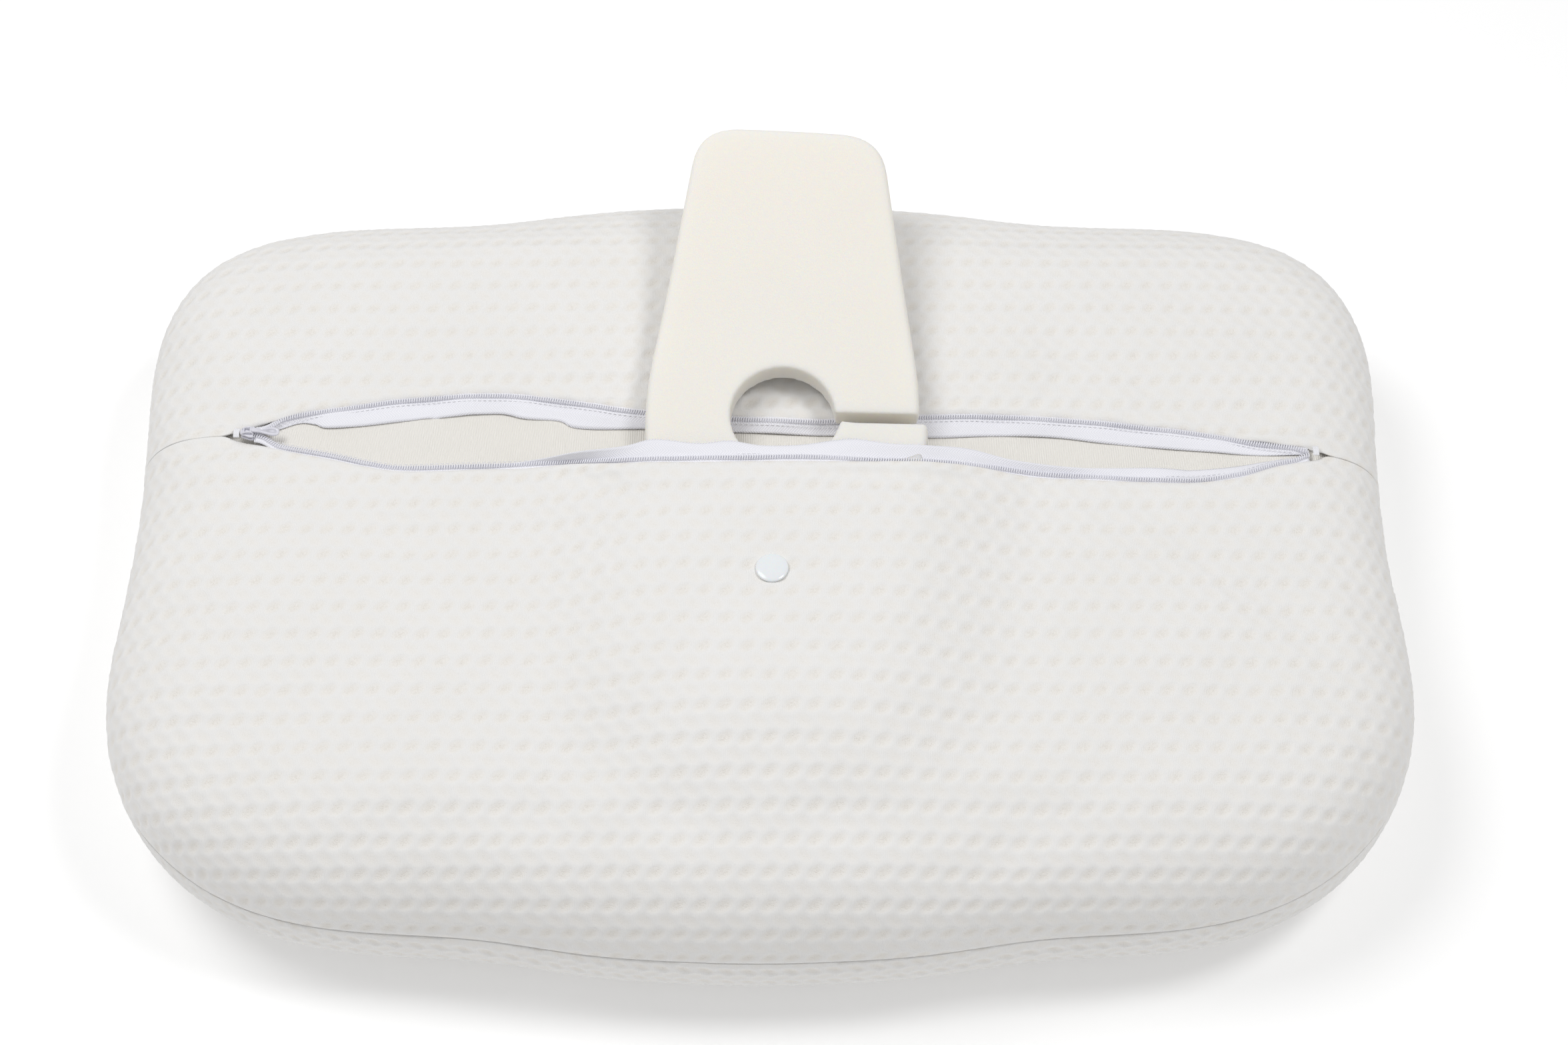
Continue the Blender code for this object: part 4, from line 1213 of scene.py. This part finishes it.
COIL_TREE = coil_tree()
for word, side in (("back", 1), ("front", -1)):
    coil = grow(f"coil_{word}", COIL_TREE, COILS[side], NYLON,
                Pitch=1.15 * MM, Width=1.05 * MM, Height=0.62 * MM, Strand=0.3 * MM)  # fmt: skip
    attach(coil, "pillow")
    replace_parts(coil, f"zip_coil_{word}")

# %% The stitches' tree
def stitch_tree():
    tree, given = start_tree("row_of_stitches", ("Pitch", "Length", "Thread"))
    curve = put(tree, "GeometryNodeMeshToCurve", {"Mesh": given["Line"]}).outputs[0]
    even = {"Curve": curve, "Length": given["Pitch"]}
    even = put(tree, "GeometryNodeResampleCurve", even, mode="LENGTH").outputs[0]
    tangent = put(tree, "GeometryNodeInputTangent").outputs[0]
    turn = put(tree, "FunctionNodeAlignRotationToVector", {"Vector": tangent}, axis="X").outputs[0]
    ball = put(tree, "GeometryNodeMeshUVSphere", {"Segments": 8, "Rings": 6, "Radius": 1.0}).outputs[0]
    size = put(tree, COMBINE, (given["Length"], given["Thread"], given["Thread"])).outputs[0]
    stitch = put(tree, "GeometryNodeTransform", {"Geometry": ball, "Scale": size}).outputs[0]
    row = {"Points": even, "Instance": stitch, "Rotation": turn}
    row = put(tree, "GeometryNodeInstanceOnPoints", row).outputs[0]
    return end_tree(tree, row, given["Finish"])


STITCH_TREE = stitch_tree()
for word, side in (("back", 1), ("front", -1)):
    line = COILS[side] + [0, -side * 2.3 * MM, -0.55 * MM]
    stitches = grow(f"tape_stitches_{word}", STITCH_TREE, line[8:-6], THREAD,
                    Pitch=2.4 * MM, Length=0.85 * MM, Thread=0.2 * MM)  # fmt: skip
    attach(stitches, "pillow")

# %% [markdown]
# ## Slider, pull tab and end tacks
# The slider is die-cast zinc under white enamel: two shield-shaped plates on a post, with a bridge on top
# that holds the tab's pin. A plate is a flat outline with rounded rims. The bridge is two bent wires. The
# tab is a long drop, thin at the eye, that lies over the mouth. At each end of the zip a short bar of
# thread stops it.

# %% Enamel material and helpers for small parts
# Baked enamel on zinc: hard, glossy, cool white with slight unevenness
ENAMEL = hard_material("white_enamel", 0.22, "E4E3EC", "DADAE4", 500.0, 2.0, 0.015 * MM,
                       IOR=1.5, Coat_Weight=0.4, Coat_Roughness=0.08)  # fmt: skip


def lay_on_zip(obj, place):
    """Turns a piece along the zip's chord and moves it to its place."""
    x, y, _ = joints["zip_slide"]["axis"]
    obj.data.transform(Matrix.Translation(place) @ Matrix.Rotation(math.atan2(y, x), 4, "Z"))


def join(name, pieces, material):
    """Joins pieces into one mesh; overlapping walls stay, as on a casting with its wire bridge."""
    made = bmesh.new()
    for part in pieces:
        made.from_mesh(part.data)
        bpy.data.objects.remove(part)
    return from_bmesh(name, made, material)


def wire(name, points, radius):
    """A bent wire of round section through smooth points."""
    curve = bpy.data.curves.new(name, "CURVE")
    curve.dimensions = "3D"
    curve.bevel_depth = radius
    curve.bevel_resolution = 4
    curve.use_fill_caps = True
    line = smooth_line(points, 6)
    spline = curve.splines.new("POLY")
    spline.points.add(len(line) - 1)
    for point, place in zip(spline.points, line):
        point.co = (*place, 1)
    return piece_from_curve(name, curve)


# %% Slider
slider_low, slider_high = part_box("zip_slider")
SLIDER_BASE = slider_low.z
slider_place = Vector(((slider_low.x + slider_high.x) / 2, SLIDER_Y, SLIDER_BASE))
half_long, half_wide = SLIDER_SIZE[0] / 2, SLIDER_SIZE[1] / 2
shield = ((-1, 0), (-0.9, 0.5), (-0.3, 0.72), (0.4, 1), (0.95, 0.9), (0.8, 0))  # shares of the half sizes
shield = smooth_line([(half_long * x, half_wide * y) for x, y in shield])
shield = [*shield, *[(x, -y) for x, y in shield[-2:0:-1]]]
tall, plate_height = SLIDER_SIZE[2], 1.1 * MM
plates = [
    flat_solid("plate", shield, base, base + plate_height, 0.35 * MM) for base in (0, tall - plate_height)
]
round_post = arc((0.5 * MM, 0), 1.1 * MM, 0, math.tau, 25)[:-1]
post = flat_solid("post", round_post, 0.6 * MM, tall - 0.6 * MM)
pin_place = Vector(joints["tab_turn"]["pos_m"])
PIN_HEIGHT = pin_place.z - SLIDER_BASE
bridges = []
for sign in (-1, 1):
    path = [(x, 1.35 * sign, z) for x, z in ((-2.6, 3.0), (-1.6, 4.1), (0.4, 4.9), (2.2, 4.7), (2.9, 3.1))]
    bridges.append(wire("bridge", np.array(path) * MM, 0.42 * MM))
crossbars = [
    wire("crossbar", np.array([(x, -1.4, z), (x, 0, z), (x, 1.4, z)]) * MM, radius * MM)
    for x, z, radius in ((-1.5, 4.15, 0.42), (2.1, PIN_HEIGHT / MM, 0.45))
]
slider = join("slider_body", [*plates, post, *bridges, *crossbars], ENAMEL)
lay_on_zip(slider, slider_place)
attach(slider, "slider")
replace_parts(slider, "zip_slider")

# %% Pull tab
TAB_LEAN = math.radians(7)  # its far end hangs this much
drop = ((-0.7, 0), (-0.35, 0.95), (1.2, 1.15), (4.5, 1.25), (8.5, 2.1), (11.2, 2.2), (12.7, 1.15), (13, 0))
drop = smooth_line(drop)
drop = np.array([*drop, *[(x, -y) for x, y in drop[-2:0:-1]]]) * MM
tab = flat_solid("pull_tab", drop, -0.6 * MM, 0.6 * MM, 0.45 * MM)
dish = np.array(arc((9.6 * MM, 0), 1.5 * MM, 0, math.tau, 33)[:-1]) * [1.25, 0.72] - [2.4 * MM, 0]
cut(tab, flat_solid("dish", dish, 0.38 * MM, 2 * MM))
eye = wire("eye", np.array([(0, -1.0, 0), (0, 0, 0), (0, 1.0, 0)]) * MM, 0.78 * MM)
tab = join("pull_tab", [tab, eye], ENAMEL)
tab.data.transform(Matrix.Rotation(TAB_LEAN, 4, "Y"))
lay_on_zip(tab, pin_place)
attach(tab, "tab")
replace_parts(tab, "zip_pull_tab")

# %% End tacks: bars of close stitches
for word in ("left", "right"):
    low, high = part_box(f"zip_tack_{word}")
    middle = (low + high) / 2
    strands = []
    for x in middle.x + np.linspace(-1.15, 1.15, 6) * MM:
        near, far = ((x, y, high.z - 0.5 * MM) for y in (low.y + 0.3 * MM, high.y - 0.3 * MM))
        strands.append(wire("strand", [near, (x, middle.y, high.z + 0.1 * MM), far], 0.26 * MM))
    tack = join(f"tack_{word}", strands, THREAD)
    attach(tack, "pillow")
    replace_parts(tack, f"zip_tack_{word}")

# %% [markdown]
# ## Press stud
# The stud's cap is acetal, moulded: a flat dome with a soft edge, white and glossy. It is turned from a
# profile. It draws the cloth in, so a shallow dip goes round it. The rest of the stud is out of sight
# under the panel.

# %% Acetal material: moulded, waxy white, glossy
ACETAL = hard_material("white_acetal", 0.16, "F0F3F5", "EAEEF1", 300.0, 2.0, 0.01 * MM,
                       IOR=1.48, Subsurface_Weight=0.1, Subsurface_Scale=0.002)  # fmt: skip

# %% Cap
def turned(name, profile, place, material, steps=72):
    """Turns (radius, height) points, which run down the outer side, about the vertical through place."""
    made = bmesh.new()
    verts = [made.verts.new((r, 0, z)) for r, z in profile]
    edges = [made.edges.new(pair) for pair in zip(verts, verts[1:])]
    bmesh.ops.spin(made, geom=[*verts, *edges], axis=(0, 0, 1), cent=(0, 0, 0), angle=math.tau, steps=steps)
    bmesh.ops.remove_doubles(made, verts=made.verts, dist=1e-6)
    bmesh.ops.recalc_face_normals(made, faces=made.faces)
    turned_piece = from_bmesh(name, made, material)
    turned_piece.data.transform(Matrix.Translation(place))
    return turned_piece


dome = [
    (CAP_RADIUS * math.sin(a), CAP_HEIGHT * (0.38 + 0.62 * math.cos(a) ** 0.8))
    for a in np.linspace(0, 1.45, 14)
]
rim = [
    (CAP_RADIUS - 0.35 * MM * (1 - math.cos(a)), CAP_HEIGHT * (0.34 - 0.34 * math.sin(a)))
    for a in np.linspace(0, 1.57, 6)
]
cap = turned("snap_dome", [*dome, *rim, (0, 0)], (CAP_MIDDLE.x, CAP_MIDDLE.y, cap_low.z), ACETAL)
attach(cap, "pillow")
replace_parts(cap, "snap_cap")

# %% Finishes of the pieces inside
for name in ("snap_socket", "snap_stud", "snap_stud_plate"):
    cover_with(frame["nodes"][name].data, ACETAL)

# %% [markdown]
# ## Floor, light and camera
# The light is a studio's: a white room, a broad soft lamp on the left, and a smaller one on the right,
# which gives the flap's shadow its edge.

# %% Camera
TARGET = Vector((10.8, 25.6, 49)) * MM
CAMERA_DISTANCE = 1.18
CAMERA_ELEVATION = math.radians(56)
camera = bpy.data.objects.new("camera", bpy.data.cameras.new("camera"))
bpy.context.scene.collection.objects.link(camera)
camera.data.sensor_width = 36
camera.data.lens = 56.6
back = Vector((0, -math.cos(CAMERA_ELEVATION), math.sin(CAMERA_ELEVATION)))
camera.location = TARGET + back * CAMERA_DISTANCE
camera.rotation_euler = (-back).to_track_quat("-Z", "Y").to_euler()
bpy.context.scene.camera = camera


# %% Light
def lamp(name, place, size, power):
    made = bpy.data.objects.new(name, bpy.data.lights.new(name, "AREA"))
    bpy.context.scene.collection.objects.link(made)
    made.data.shape = "DISK"
    made.data.size = size
    made.data.energy = power
    made.location = place
    made.rotation_euler = (Vector((0, 0, 0.05)) - Vector(place)).to_track_quat("-Z", "Y").to_euler()
    return made


lamp("left_lamp", (-0.75, 0.2, 1.6), 0.9, 10.5)
lamp("right_lamp", (0.75, -0.05, 1.6), 0.45, 7)
world = bpy.data.worlds.new("studio")
bpy.context.scene.world = world
world.use_nodes = True
world.node_tree.nodes["Background"].inputs["Color"].default_value = linear("FFFFFF")
world.node_tree.nodes["Background"].inputs["Strength"].default_value = 0.45
bpy.context.scene.view_settings.view_transform = "Standard"

# %% Floor
bpy.ops.mesh.primitive_plane_add(size=12, location=(0, 0, -0.0005))
floor = bpy.context.object
floor.name = "floor"
made, tree, shader = finish("studio_floor", 0.9)
shader.inputs["Base Color"].default_value = linear("FDFDFD")
shader.inputs["Emission Color"].default_value = linear("FFFFFF")
shader.inputs["Emission Strength"].default_value = 0.15
floor.data.materials.append(made)
